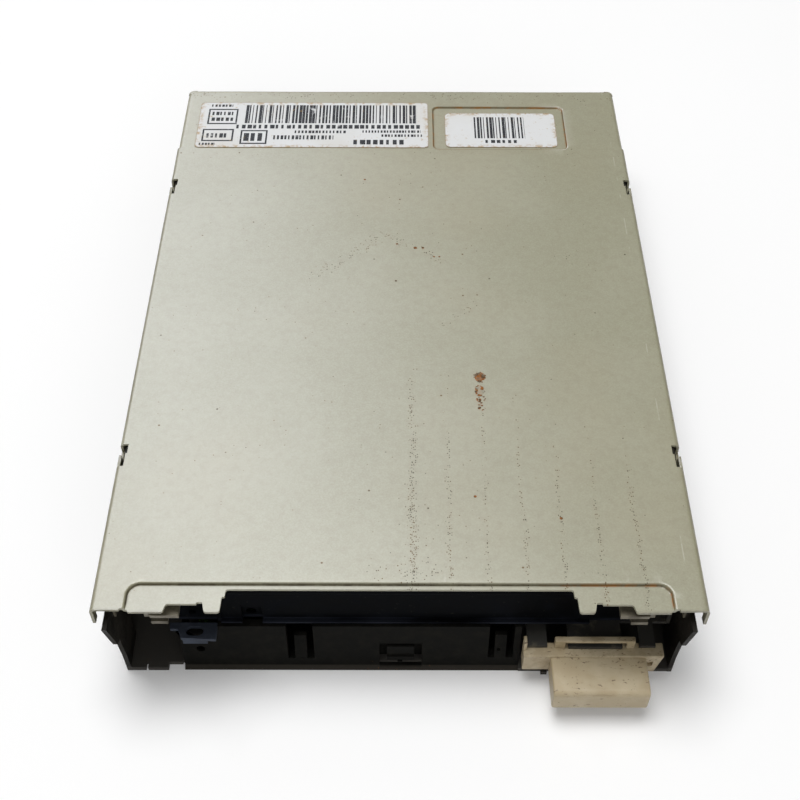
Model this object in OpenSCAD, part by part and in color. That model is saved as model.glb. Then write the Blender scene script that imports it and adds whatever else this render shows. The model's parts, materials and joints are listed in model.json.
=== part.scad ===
// Bare 3.5-inch floppy disk drive without its bezel, built as an assembly of separate parts.
// Millimetres. X runs to the right seen from the front, Y to the rear, Z up. It rests on z = 0.

/* [Drive] */
// Overall width across the cover flanges
drive_w = 101.6; // [101:0.2:104]
// Length of the top cover from its front edge to its rear edge
drive_l = 142; // [141:0.5:146]
// Overall height from the rest face to the top of the cover
drive_h = 25.4; // [25.2:0.1:26.4]

/* [Disk and travel] */
// Room between the disk and the overall width at each side
disk_margin = 5.8; // [5.6:0.1:6.2]
// Distance of the spindle from the rear edge of the cover
spindle_rear = 96; // [95:0.5:97]
// Distance from the spindle to the rear edge of the loaded disk
hub_depth = 47; // [46.5:0.1:47.5]
// Thickness of the disk shell
disk_t = 3.3; // [3.1:0.1:3.4]
// Play above the disk in the holder
disk_play = 1.2; // [0.9:0.1:1.3]
// Play at each side of the disk
disk_side_play = 0.5; // [0.3:0.1:0.6]
// Depth of the underside of the loaded disk below the cover top
disk_depth = 13.1; // [12.8:0.1:13.2]
// Drop of the holder as a disk loads
disk_drop = 3; // [2.8:0.1:3.1]
// Run of the eject slide
eject_run = 6; // [5:0.5:6]
// Travel of the heads from the outermost to the innermost track
seek_run = 14.8; // [14:0.1:15]
// Radius of the outermost track
track_r = 39.5; // [39:0.1:40]
// Angle by which the upper head arm is lifted at rest
head_lift = 10; // [8:0.5:10.5]

/* [Top cover] */
// Sheet thickness of the cover
cover_t = 0.8; // [0.6:0.1:0.9]
// Outside radius of the cover bends
cover_bend_r = 1; // [0.9:0.1:1.6]
// Height of the side and rear flanges
cover_flange_h = 3.2; // [2.8:0.1:3.6]
// Radius of the rear corners in plan
cover_corner_r = 2; // [1.4:0.1:3]
// Length of the narrower rear part
neck_l = 21.7; // [18:0.1:26]
// Step of the narrower rear part at each side
neck_step = 0.3; // [0.2:0.1:0.6]
// Inset of the lowered front part from the overall width
apron_in = 6; // [5.4:0.1:7]
// Length of the lowered front part
apron_l = 5.3; // [5:0.1:6]
// Drop of the lowered front part
apron_drop = 0.8; // [0.6:0.1:0.9]
// Radius of the inner corners of the lowered front part
apron_r = 2.5; // [1.5:0.1:3]
// Distance of the front edge slots from the front edge
edge_slot_front = 32.1; // [31:0.1:33]
// Distance of the rear edge slots from the rear edge
edge_slot_rear = 35.4; // [30:0.1:40]
// Length of an edge slot
edge_slot_l = 4.9; // [4.4:0.1:5.4]

/* [Labels] */
// Distance of the large label from the side of the cover
label_in = 3.9; // [2.5:0.1:5]
// Width of the large label
label_w = 53.3; // [40:0.1:54]
// Length of the large label
label_l = 16.8; // [12:0.1:17]
// Width of the pressed recess for the small label
recess_w = 30.4; // [26:0.1:34]
// Length of the pressed recess for the small label
recess_l = 15.7; // [14:0.1:17]
// Depth of the pressed recess
recess_d = 0.35; // [0.2:0.05:0.45]
// Thickness of the label paper
paper_t = 0.1; // [0.08:0.01:0.15]

/* [Chassis] */
// Sheet thickness of the floor
floor_t = 1; // [0.8:0.1:1.2]
// Sheet thickness of the side walls
wall_t = 1; // [0.9:0.1:1.2]
// Sheet thickness of the front ears
ear_t = 0.8; // [0.6:0.1:0.9]
// Inset of the front ears from the overall width
ear_in = 1.8; // [1.6:0.1:2]
// Reach of the ear tips in front of the cover
ear_reach = 1.65; // [1:0.05:2.5]
// Radius of the threaded fixing holes, M3 minor
fix_r = 1.25; // [1.2:0.05:1.7]
// Height of the side fixing holes
fix_z = 5; // [4.5:0.1:5.5]
// Distance of the first fixing holes from the front edge
fix_front = 26; // [24:0.5:27]
// Spacing of the fixing holes along the drive
fix_pitch = 60; // [58:0.5:62]
// Inset of the bottom fixing holes from the overall width
fix_in = 6.3; // [6:0.1:7]

/* [Front end] */
// Gap between the front guide wall and the loaded disk above it
guide_gap = 0.2; // [0.2:0.1:0.7]
// Room between the left ear and the front guide wall
guide_left_in = 9.55; // [9.4:0.05:10]
// Room between the front guide wall and the right ear
guide_right_in = 26.85; // [26.8:0.05:27.4]
// Half width of the dust flap
flap_half = 41.7; // [40:0.1:41.7]
// Thickness of the dust flap
flap_t = 1.2; // [1:0.1:1.3]
// Radius of the flap hinge pin
flap_pin_r = 0.6; // [0.5:0.05:0.7]
// Depth of the flap hinge pin below the cover top
flap_pin_drop = 3.2; // [3.1:0.05:3.4]

/* [Eject button] */
// Width of the button wings
wing_w = 24.5; // [22:0.05:24.6]
// Height of the button wings
wing_h = 4.65; // [4.2:0.05:4.8]
// Width of the button nose
nose_w = 16.7; // [12:0.1:17]
// Height of the button nose
nose_h = 5.1; // [4.4:0.05:5.4]
// Reach of the button nose in front of the wings
nose_l = 7.05; // [5:0.05:9]

/* [Spindle motor] */
// Outside radius of the rotor cup
rotor_r = 24; // [22:0.2:24.4]
// Radius of the chuck disc
chuck_r = 12.5; // [11.8:0.1:13.5]
// Radius of the spindle shaft
shaft_r = 2; // [1.8:0.05:2.2]
// Number of stator teeth
teeth = 9; // [6:1:9]
// Thickness of the motor board
motor_board_t = 1; // [0.8:0.1:1.1]

/* [Head train] */
// Radius of the guide rods
rod_r = 1.5; // [1.3:0.05:1.6]
// Half spacing of the guide rods
rod_x = 11; // [10.6:0.1:11.2]
// Radius of the stepper can
stepper_r = 8.5; // [7.5:0.1:8.8]
// Length of the stepper can
stepper_l = 12; // [10:0.5:12]
// Crest radius of the lead screw
screw_r = 1.5; // [1.4:0.05:1.6]
// Lead of the screw for one turn
screw_lead = 3.75; // [3.5:0.05:4]

/* [Electronics] */
// Thickness of the main board
board_t = 1.6; // [1.2:0.1:1.6]
// Height of the boards above the rest face
board_z = 2.4; // [2.2:0.1:2.6]
// Pitch of the signal pins
pin_pitch = 2.54; // [2.5:0.01:2.54]
// Signal pins in one row
pin_count = 17; // [13:1:17]
// Pitch of the power pins
power_pitch = 2.5; // [2.4:0.05:2.54]

/* [Clearances] */
// Radial clearance of a turning or sliding fit
run_fit = 0.05; // [0.02:0.01:0.08]
// Radial clearance of a fixed pin in its hole
set_fit = 0.03; // [0.02:0.01:0.05]
// Side clearance of a pin in a cam slot
slot_fit = 0.15; // [0.1:0.01:0.2]
// Clearance between sheets that slide past each other
sheet_gap = 0.25; // [0.2:0.01:0.3]

/* [Hidden] */
$fn = 48;
e = 0.01;

// Outer frame
half_w = drive_w / 2;
front_y = -drive_l / 2;
rear_y = drive_l / 2;
cover_z = drive_h - cover_t;
apron_z = drive_h - apron_drop;
apron_y = front_y + apron_l;
neck_y = rear_y - neck_l;
edge_slots = [front_y + edge_slot_front, rear_y - edge_slot_rear];
wall_top = drive_h - cover_flange_h - 0.3;
strip_out = half_w - cover_t - 0.1;
strip_in = strip_out - 0.9;
ear_out = half_w - ear_in;
ear_inner = ear_out - ear_t;
ear_back = front_y + 8.5;
ear_top = drive_h - 3.4;
chassis_rear = rear_y - cover_t - 0.1;
fix_y = [front_y + fix_front, front_y + fix_front + fix_pitch];

// Disk levels
disk_w = drive_w - 2 * disk_margin;
disk_z = drive_h - disk_depth;
spindle_y = rear_y - spindle_rear;
raised_z = disk_z + disk_drop;
holder_in = disk_w / 2 + disk_side_play;
holder_t = 0.8;
holder_out = holder_in + holder_t;
ledge_z = raised_z - 0.1;
roof_z = ledge_z + disk_t + disk_play;
roof_top = roof_z + holder_t;
holder_front = front_y + 11;
roof_front = front_y + 17.5;
disk_rear = spindle_y + hub_depth;
holder_rear = disk_rear;
window_half = 15.5;
window_front = spindle_y + 11;
track_y = spindle_y + track_r;

// Eject slide
slide_t = 0.6;
slide_in = holder_out + sheet_gap;
slide_out = slide_in + slide_t;
slide_z = roof_top + 1.4;
slide_top = slide_z + slide_t;
slide_front = front_y + 21.5;
slide_rear = disk_rear - 4.5;
slide_bottom = disk_z - 1.3;
web_y = [front_y + 26, front_y + 58];
spring_x = 26;
spring_y = [front_y + 31, front_y + 53];
spring_l = spring_y[1] - spring_y[0] - 0.7;
bracket_t = 0.7;
bracket_out = slide_out + bracket_t;
guide_h = disk_z - guide_gap;
bracket_z = guide_h - 3.4;
pin_r = 1.25;
pin_y = [front_y + 25, disk_rear - 14];
pin_z = raised_z + 1.9;
pin_end = half_w - 0.4;

// Front end
guide_left = guide_left_in - ear_inner;
guide_right = ear_inner - guide_right_in;
apron_half = half_w - apron_in;
label_x = label_in - half_w;
recess_x = label_x + label_w + 1.1;
guide_foot_y = front_y + 3.5;
guide_top_y = front_y + 4.8;
guide_thick = 1.4;
boss_z = guide_h - 0.9;
boss_top = guide_h - 0.1;
flap_front = front_y + 6;
flap_bottom = guide_h + 0.3;
flap_pin_y = flap_front + 0.7;
flap_pin_z = drive_h - flap_pin_drop;
knuckle_r = flap_pin_r + 0.7;
button_x = guide_right + 0.3;
wing_y = front_y + 0.95;
wing_z = bracket_z - 0.05 - wing_h;
button_mid = button_x + 13.05;
bridge_h = 2.35;

// Spindle
board_top = board_z + board_t;
motor_top = board_z + motor_board_t;
rotor_z = [motor_top + 0.4, motor_top + 4.2];
rotor_t = 0.8;
chuck_t = 1.5;
chuck_z = disk_z - chuck_t;
magnet_in = rotor_r - 4.3;
drive_r = 10;
core_z = [motor_top + 0.7, motor_top + 2.7];
bearing_r = 5;

// Heads
rod_z = disk_z - 3.8;
rod_yy = [track_y - 9.5, track_y + 38.5];
carriage_y = [track_y + 11.5, track_y + 31.5];
carriage_z = [disk_z - 5.9, disk_z - 1.5];
flag_z = disk_z - 4.4;
carriage_half = rod_x + 3;
arm_pivot = [track_y + 28.5, disk_z + 2.7];
arm_pin_r = 0.9;
media_z = disk_z + disk_t / 2;
screw_x = 22.5;
screw_z = (board_top + cover_z - recess_d) / 2;
follower_y = track_y + 26;
stepper_y = track_y + 34;
pivot_y = disk_rear + 1.2;
groove_r = screw_r - 0.6;
cutout = [-16, screw_x + stepper_r + 1.5];

// Boards
main_front = track_y + 13.5;
main_rear = rear_y - 0.7;
main_half = half_w - 3.3;
main_step = track_y + 40.5;
header_y = [rear_y - 9.2, rear_y - 0.4];
header_half = pin_count * pin_pitch / 2 + 3.4;
header_x = header_half + 2.51 - main_half;
header_h = 8.6;
power_x = main_half - 8.5;
power_half = 2 * power_pitch + 1.2;
board_posts = [[4 - main_half, main_front + 4], [main_half - 4, main_front + 4],
    [1.5 - main_half, main_rear - 12.5], [power_x - 10, main_rear - 3]];
fix_x = half_w - fix_in;
motor_half = fix_x - 3.3;
motor_y = [front_y + 12, spindle_y + 22];
motor_posts = [[5.2 - motor_half, motor_y[0] + 4], [motor_half - 11.2, motor_y[0] + 4],
    [7.2 - motor_half, motor_y[1] - 3], [motor_half - 7.2, motor_y[1] - 3]];
switch_x = holder_in - 7.5;
switches = [[-switch_x, front_y + 22], [-switch_x, front_y + 30], [switch_x, front_y + 22]];
trigger_x = holder_in - 15.5;
trigger_y = disk_rear - 18;
trigger_z = roof_top + 0.05;
trigger_t = 0.6;
trigger_turn = 25;
trigger_l = (trigger_x - window_half + 5.44) / cos(trigger_turn);

// Box from ranges along X, Y and Z
module box(x, y, z) {
    translate([x[0], y[0], z[0]])
        cube([x[1] - x[0], y[1] - y[0], z[1] - z[0]]);
}

// Round bars along the three axes
module bar_x(x, y, z, r) {
    translate([x[0], y, z]) rotate([0, 90, 0]) cylinder(h = x[1] - x[0], r = r);
}
module bar_y(x, y, z, r) {
    translate([x, y[0], z]) rotate([-90, 0, 0]) cylinder(h = y[1] - y[0], r = r);
}
module bar_z(x, y, z, r) {
    translate([x, y, z[0]]) cylinder(h = z[1] - z[0], r = r);
}

// The children and their mirror image across the drive
module both_sides() {
    children();
    mirror([1, 0, 0]) children();
}

// Plate standing across X, its outline given in Y and Z
module side_plate(x, points) {
    translate([x[0], 0, 0]) rotate([90, 0, 90])
        linear_extrude(x[1] - x[0]) polygon(points);
}

// Long hole through X from one Y, Z point to another
module slot_x(x, a, b, r) {
    bar_x(x, a[0], a[1], r);
    bar_x(x, b[0], b[1], r);
    translate([x[0], a[0], a[1]])
        rotate([atan2(b[1] - a[1], b[0] - a[0]), 0, 0])
            translate([0, 0, -r]) cube([x[1] - x[0], norm(b - a), 2 * r]);
}

// Flat plate with round corners in plan
module round_plate(x, y, z, r) {
    box([x[0] + r, x[1] - r], y, z);
    box(x, [y[0] + r, y[1] - r], z);
    for (px = [x[0] + r, x[1] - r])
        for (py = [y[0] + r, y[1] - r])
            bar_z(px, py, z, r);
}

// Coiled wire along Z as one unbroken tube, whose least gap from curl to curl is printed
module coil(r, wire, curls, length) {
    per = 8;
    sides = 6;
    steps = curls * per;
    line = [for (i = [0 : steps]) let (a = 360 * i / per) [r * cos(a), r * sin(a), length * i / steps]];
    echo(coil_gap = min([for (i = [0 : steps - per]) norm(line[i + per] - line[i])]) - 2 * wire);
    points = [for (i = [0 : steps]) for (j = [0 : sides - 1])
        let (a = 360 * i / per, b = 360 * j / sides, q = r + wire * cos(b))
            [q * cos(a), q * sin(a), length * i / steps + wire * sin(b)]];
    skin = [for (i = [0 : steps - 1]) for (j = [0 : sides - 1])
        let (k = (j + 1) % sides, a = i * sides, b = a + sides)
            [a + j, b + j, b + k, a + k]];
    first = [for (j = [0 : sides - 1]) j];
    last = [for (j = [sides - 1 : -1 : 0]) steps * sides + j];
    polyhedron(points, concat([first], skin, [last]), convexity = 8);
}

// Pressed steel tray: floor, joggled side walls, front ears, posts and threaded collars
module chassis_frame() {
    color("#4b4a46")
    difference() {
        union() {
            box([-half_w, half_w], [ear_back, chassis_rear], [0, floor_t]);
            box([-ear_out, ear_out], [front_y + 4.2, ear_back + 1], [0, floor_t]);
            both_sides() box([guide_right, ear_out], [front_y + 2.7, ear_back], [0, floor_t]);
            box([guide_right + 4, guide_right + 5.1], [front_y + 2, ear_back], [0, floor_t]);
            both_sides() chassis_side();
            for (p = concat(board_posts, motor_posts))
                bar_z(p[0], p[1], [0, board_z], 2.2);
            both_sides() for (y = fix_y)
                bar_z(fix_x, y, [0, board_z], 2.6);
        }
        box([-ear_out - e, guide_left - 3], [front_y, front_y + 2.7], [-1, 2]);
        box([guide_left - 2.9, guide_left - 0.45], [front_y, front_y + 3.85], [-1, floor_t + e]);
        box([guide_left - 0.45, guide_right], [front_y, front_y + 4.2], [-1, floor_t + e]);
        box([guide_left - 6.95, guide_left - 6.55], [front_y, front_y + 3.9], [-1, floor_t + e]);
        bar_z(0, spindle_y, [-1, 3], bearing_r + 1.5);
        both_sides() for (y = fix_y) {
            bar_x([half_w - 4, half_w + 1], y, fix_z, fix_r);
            bar_z(fix_x, y, [-1, 4], fix_r);
        }
        for (p = concat(board_posts, motor_posts))
            bar_z(p[0], p[1], [-1, 4], 1);
        round_plate([8.5 - main_half, 20.5 - main_half], [main_front + 9, main_rear - 14], [-1, 2], 2);
        round_plate([main_half - 13, main_half - 7.5], [main_front + 9, main_rear - 14], [-1, 2], 2);
        round_plate([-30, -14], [motor_y[0] + 8, motor_y[0] + 14], [-1, 2], 2);
        round_plate([14, 30], [motor_y[0] + 8, motor_y[0] + 14], [-1, 2], 2);
    }
}

// Right wall of the tray with its ear, guide slots, cover snaps and rear tab
module chassis_side() {
    difference() {
        union() {
            box([half_w - wall_t, half_w], [ear_back, chassis_rear], [0, wall_top]);
            box([strip_in, strip_out], [ear_back, chassis_rear], [wall_top - 1.2, drive_h - cover_bend_r]);
            box([strip_in, half_w - cover_bend_r], [ear_back, neck_y - 0.4], [wall_top - 1.2, cover_z]);
            box([ear_inner, half_w], [ear_back, ear_back + 0.9], [0, wall_top]);
            side_plate([ear_inner, ear_out], [
                [front_y - ear_reach, ear_top], [front_y + 0.7, ear_top - 8.9],
                [front_y + 2, ear_top - 9.6], [front_y + 2.65, 5.2], [front_y + 2.65, 0],
                [ear_back + 0.9, 0], [ear_back + 0.9, ear_top]]);
            for (y = fix_y)
                bar_x([half_w - 2.2, half_w - e], y, fix_z, 2.4);
            box([half_w - 4.2, half_w - 0.9], [chassis_rear - 0.9, chassis_rear], [board_top + 0.4, cover_z]);
        }
        for (y = pin_y)
            slot_x([half_w - 3, half_w + 1], [y, pin_z - disk_drop], [y, pin_z], pin_r + slot_fit);
        for (y = edge_slots)
            box([half_w - wall_t - e, half_w + 1], [y - 2.6, y + 2.6], [wall_top - 3.9, wall_top + 1]);
        box([half_w - neck_step - cover_t - 0.1, half_w + 1], [neck_y - 0.4, rear_y], [wall_top, drive_h]);
    }
    for (y = edge_slots) {
        box([strip_in, strip_out], [y - 3.6, y + 3.6], [wall_top - 4.6, drive_h - cover_bend_r]);
        bar_x([strip_out - 0.2, half_w - 0.3], y, wall_top - 1.9, 0.7);
    }
}

// Outline of the cover in X and Z with round bends, solid
module cover_section(half, z, r) {
    translate([-half, 0]) square([2 * half, z - r]);
    translate([-half + r, 0]) square([2 * half - 2 * r, z]);
    for (x = [-half + r, half - r])
        translate([x, z - r]) circle(r);
}

// Bent sheet channel along Y, flanges down to the flange height
module cover_channel(half, y) {
    translate([0, y[1], 0]) rotate([90, 0, 0]) linear_extrude(y[1] - y[0])
        difference() {
            cover_section(half, drive_h, cover_bend_r);
            cover_section(half - cover_t, cover_z, cover_bend_r - cover_t);
            translate([-half - 1, -1]) square([2 * half + 2, drive_h - cover_flange_h + 1]);
        }
}

// Plan of the lowered front part, grown by g
module apron_plan(g, z) {
    half = apron_half + g;
    r = apron_r + g;
    box([-half, half], [front_y - 1, apron_y + g - r], z);
    box([-half + r, half - r], [front_y - 1, apron_y + g], z);
    for (x = [-half + r, half - r])
        bar_z(x, apron_y + g - r, z, r);
}

// Pressed steel lid with bent flanges, snap lugs, lowered front part and cut-outs
module top_cover() {
    color("#b7b3a2")
    difference() {
        union() {
            cover_channel(half_w, [front_y, neck_y]);
            cover_channel(half_w - neck_step, [neck_y - e, rear_y - cover_corner_r - 0.4]);
            round_plate([-half_w + neck_step, half_w - neck_step], [neck_y - 9, rear_y],
                [cover_z, drive_h], cover_corner_r);
            box([-half_w + 4, half_w - 4], [rear_y - cover_t, rear_y],
                [drive_h - cover_flange_h, drive_h - cover_t + e]);
            apron_plan(cover_t, [apron_z - cover_t, apron_z + 0.2]);
            recess_box(0.6, [cover_z - recess_d, cover_z + e]);
            both_sides() for (y = edge_slots)
                box([half_w - cover_t, half_w], [y - 2.3, y + 2.3],
                    [wall_top - 3.6, drive_h - cover_flange_h + 1]);
        }
        apron_plan(0, [apron_z, drive_h + 1]);
        box([-half_w, half_w], [front_y - 2, front_y], [0, drive_h + 1]);
        recess_box(0, [drive_h - recess_d, drive_h + 1]);
        both_sides() {
            box([-e, 28.75], [front_y - 1, front_y + 4.5], [apron_z - 2, drive_h]);
            box([28, 29.45], [front_y - 1, front_y + 3.2], [apron_z - 2, drive_h]);
            box([32.35, 38.75], [front_y - 1, front_y + 1.8], [apron_z - 2, drive_h]);
            box([32.4, 33.4], [front_y - 1, front_y + 2.1], [apron_z - 2, drive_h]);
            for (y = edge_slots) {
                box([half_w - 1.15, half_w + 1], [y - edge_slot_l / 2, y + edge_slot_l / 2],
                    [drive_h - 0.9, drive_h + 1]);
                box([half_w - 1.15, half_w - 0.3], [y + edge_slot_l / 2 - 2, y + edge_slot_l / 2],
                    [drive_h - 2.6, drive_h + 1]);
                bar_x([half_w - 2, half_w + 1], y, wall_top - 1.9, 0.9);
            }
        }
    }
}

// Recess for the small label, grown by g
module recess_box(g, z) {
    round_plate([recess_x - g, recess_x + recess_w + g],
        [neck_y - 0.5 - g, neck_y - 0.5 + recess_l + g], z, 1 + g);
}

// Large paper label on the flat of the cover
module label_large() {
    color("#e6e2d6")
    round_plate([label_x, label_x + label_w], [neck_y - 0.2, neck_y - 0.2 + label_l],
        [drive_h, drive_h + paper_t], 0.8);
}

// Small paper label in the recess
module label_small() {
    color("#e9e6dc")
    round_plate([recess_x + 2.7, recess_x + recess_w - 2], [neck_y + 0.45, neck_y - 0.5 + recess_l - 2.05],
        [drive_h - recess_d, drive_h - recess_d + paper_t], 0.6);
}

// Profile of the front guide wall in Y and Z, leaning back
module guide_wall(x, top) {
    lean = (top - 0.85) / (guide_h - 0.85);
    face = guide_foot_y + lean * (guide_top_y - guide_foot_y);
    side_plate(x, [[guide_foot_y - 0.7, 0], [guide_foot_y - 0.7, 0.15], [guide_foot_y, 0.85],
        [face, top], [face + guide_thick, top], [guide_foot_y + 1.9, floor_t],
        [front_y + 4.15, floor_t], [front_y + 4.15, 0]]);
}

// Moulded wall under the disk slot, with bezel catches, a centre window and ribs
module front_guide() {
    color("#35332f") {
        difference() {
            union() {
                guide_wall([guide_left, guide_left + 7], boss_z);
                guide_wall([guide_left + 7 - e, guide_right], guide_h);
                box([guide_left, guide_right], [guide_foot_y + 1.6, front_y + 10.8],
                    [floor_t, floor_t + 1.2]);
                for (x = [guide_left, guide_left + 17.05, guide_right - 11.35, guide_right - 1.1])
                    box([x, x + 1.1], [guide_foot_y + 1.8, front_y + 8.6], [floor_t, guide_h - 3.2]);
                box([-4.6, 4.9], [guide_foot_y + 1.8, guide_foot_y + 3.2], [floor_t, 8.2]);
            }
            box([guide_left + 18.78, guide_left + 23.47], [front_y, front_y + 7.2], [2.72, guide_h + 1]);
            box([guide_right - 5.59, guide_right - 1.16], [front_y, front_y + 7.2], [3.08, guide_h + 1]);
            box([-3.6, 3.96], [front_y, guide_foot_y + 2], [0.5, 7.15]);
            bar_y(guide_left + 3.35, [front_y, front_y + 8], 5.5, 0.8);
            bar_y(guide_left + 3.35, [guide_foot_y + 1, front_y + 8], 5.5, 1.7);
        }
        guide_catch([guide_left + 20.05, guide_left + 22.21], 2.72);
        difference() {
            guide_catch([guide_right - 4.46, guide_right - 2.42], 3.08);
            bar_y(guide_right - 3.75, [front_y, front_y + 8], 5.42, 0.35);
        }
        box([-2.22, 2.6], [guide_foot_y + 0.45, guide_foot_y + 2.2], [2.45, 6.55]);
        box([-2.22, 2.6], [guide_foot_y + 0.1, guide_foot_y + 2.2], [2.45, 3.5]);
        box([-0.35, 0.5], [guide_foot_y + 0.2, guide_foot_y + 2.2], [1.2, 1.9]);
    }
}

// Sloping snap tongue in a slot of the guide wall
module guide_catch(x, z) {
    side_plate(x, [[guide_foot_y + 0.22, z - 0.3], [guide_foot_y + 0.44, z + 1.96],
        [guide_foot_y + 1.5, z + 5.9], [guide_foot_y + 2.3, z + 5.9], [guide_foot_y + 1.7, z - 0.3]]);
}

// Black moulded plate that takes the bezel screw, seated on the low end of the guide wall
module bezel_boss() {
    color("#2b2d33")
    difference() {
        union() {
            translate([0, front_y, boss_z]) linear_extrude(boss_top - boss_z)
                polygon([[guide_left - 1.45, 5.6], [guide_left - 1.25, 4.35], [guide_left + 0.15, 4.3],
                    [guide_left + 0.8, 2.6], [guide_left + 6.9, 2.3], [guide_left + 6.95, 5.6]]);
            box([guide_left + 0.95, guide_left + 5.25], [front_y + 2.75, front_y + 4.2],
                [boss_z - 1.6, boss_z + e]);
        }
        for (x = [guide_left + 2.45, guide_left + 3.75])
            bar_z(x, front_y + 3.95, [boss_z - 1.2, guide_h + 1], 0.85);
        box([guide_left + 2.45, guide_left + 3.75], [front_y + 3.1, front_y + 4.8],
            [boss_z - 1.2, guide_h + 1]);
    }
}

// Bent brackets on the ears that carry the flap pin
module flap_brackets() {
    color("#a89d83")
    both_sides() difference() {
        union() {
            box([flap_half + 0.3, flap_half + 1.1], [front_y + 2.3, front_y + 8.4],
                [ear_top - 2.3, ear_top + 0.4]);
            box([flap_half + 0.3, flap_half + 1.1], [flap_pin_y - 1.6, flap_pin_y + 1.6],
                [ear_top - 1, flap_pin_z + 1.3]);
            box([flap_half - 5.1, flap_half - 0.3], [front_y + 0.95, front_y + 4.1],
                [ear_top - 0.4, ear_top + 0.4]);
            box([flap_half - 0.4, flap_half + 1.1], [front_y + 2.3, front_y + 4.1],
                [ear_top - 0.4, ear_top + 0.4]);
            box([flap_half - 3.1, flap_half - 0.3], [front_y + 0.95, front_y + 3.5],
                [ear_top - 2.3, ear_top - 1.5]);
            box([flap_half - 0.4, flap_half + 1.1], [front_y + 2.3, front_y + 3.5],
                [ear_top - 2.3, ear_top - 1.5]);
            box([flap_half + 1, ear_inner], [front_y + 5.5, front_y + 8.4], [ear_top - 0.4, ear_top + 0.4]);
            box([ear_inner - 0.4, ear_inner], [front_y + 3, front_y + 8.4], [ear_top - 3.5, ear_top]);
        }
        bar_x([flap_half, flap_half + 2], flap_pin_y, flap_pin_z, flap_pin_r + set_fit);
    }
}

// Steel wire on which the dust flap swings
module flap_pin() {
    color("#9a9a96")
    bar_x([-flap_half - 1.9, flap_half + 1.9], flap_pin_y, flap_pin_z, flap_pin_r);
}

// Black flap that closes the disk slot and swings inwards
module dust_flap() {
    color("#26282d")
    difference() {
        union() {
            box([-flap_half, flap_half], [flap_front, flap_front + flap_t], [flap_bottom, flap_pin_z]);
            bar_x([-flap_half, flap_half], flap_pin_y, flap_pin_z, knuckle_r);
            box([-31, 33], [flap_front - 0.76, flap_front + e], [flap_bottom, flap_bottom + 0.5]);
            box([-31.6, -30.9], [flap_front - 0.3, flap_front + e], [flap_bottom, flap_bottom + 6.5]);
        }
        bar_x([-flap_half - 1, flap_half + 1], flap_pin_y, flap_pin_z, flap_pin_r + run_fit);
        box([-27.3, -23.8], [flap_front - 1, flap_front + 0.5], [flap_bottom - 1, flap_bottom + 4.35]);
        bar_y(-25.7, [flap_front - 1, flap_front + 2], flap_bottom + 2.1, 0.9);
        bar_y(-35.8, [flap_front - 1, flap_front + 2], flap_bottom + 2.5, 0.65);
        box([flap_half - 4.9, flap_half - 0.9], [flap_front - 2, flap_pin_y + 2],
            [flap_pin_z - 1.7, flap_pin_z + 2]);
    }
}

// Torsion spring round the flap pin
module flap_spring() {
    color("#8f8f8a")
    translate([flap_half - 4.6, flap_pin_y, flap_pin_z]) rotate([0, 90, 0])
        coil(flap_pin_r + 0.5, 0.18, 4, 3.4);
}

// Zinc plated slide over the holder, its flanges cut with inclined cam slots
module slide_plate() {
    color("#b5a98e")
    difference() {
        union() {
            box([-slide_out, slide_out], web_y, [slide_z, slide_top]);
            both_sides()
                box([slide_in, slide_out], [slide_front, slide_rear], [slide_bottom, slide_top]);
            both_sides()
                box([spring_x - 0.5, spring_x + 0.5], [spring_y[1] - 1.6, spring_y[1] + 0.6],
                    [slide_z, slide_top]);
        }
        both_sides() {
            difference() {
                round_plate([spring_x - 4, spring_x + 4], [spring_y[0] - 3.4, spring_y[1]],
                    [slide_z - 1, slide_top + 1], 1);
                box([spring_x - 0.5, spring_x + 0.5], [spring_y[1] - 1.6, spring_y[1] + 1],
                    [slide_z - 2, slide_top + 2]);
            }
            for (y = pin_y)
                slot_x([slide_in - 1, slide_out + 1], [y, pin_z], [y + eject_run, pin_z - disk_drop],
                    pin_r + slot_fit);
        }
        round_plate([-14, 14], [web_y[0] + 9, web_y[1] - 9], [slide_z - 1, slide_top + 1], 3);
        for (z = [slide_bottom + 2.6, slide_bottom + 6.6])
            bar_x([slide_in - 1, slide_out + 1], web_y[1] - 12, z, 1 + set_fit);
    }
}

// Black bracket that ties the button to the slide
module button_bracket() {
    sheet_z = [bracket_z, bracket_z + bracket_t];
    color("#3a3a3c")
    difference() {
        union() {
            box([button_x + 0.65, bracket_out], [front_y + 7.5, front_y + 11.5], sheet_z);
            box([button_x + 0.65, button_x + 4.15], [front_y + 2.65, front_y + 8], sheet_z);
            box([button_x + 20.25, button_x + 23.05], [front_y + 2.65, front_y + 8], sheet_z);
            box([button_mid - 5.2, button_mid + 4.2], [front_y + 2.4, front_y + 8], sheet_z);
            box([slide_out, bracket_out], [front_y + 7.5, web_y[1] - 7], [bracket_z, slide_bottom + 1.2]);
            box([slide_out, bracket_out], [web_y[1] - 17, web_y[1] - 7], [bracket_z, slide_bottom + 8]);
        }
        for (z = [slide_bottom + 2.6, slide_bottom + 6.6])
            bar_x([slide_out - 1, bracket_out + 1], web_y[1] - 12, z, 1 + set_fit);
    }
}

// Rivets that join the bracket to the slide
module bracket_rivets() {
    color("#8d897c")
    for (z = [slide_bottom + 2.6, slide_bottom + 6.6]) {
        bar_x([slide_in + 0.05, bracket_out + 0.05], web_y[1] - 12, z, 1);
        bar_x([bracket_out, bracket_out + 0.4], web_y[1] - 12, z, 1.7);
    }
}

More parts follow.
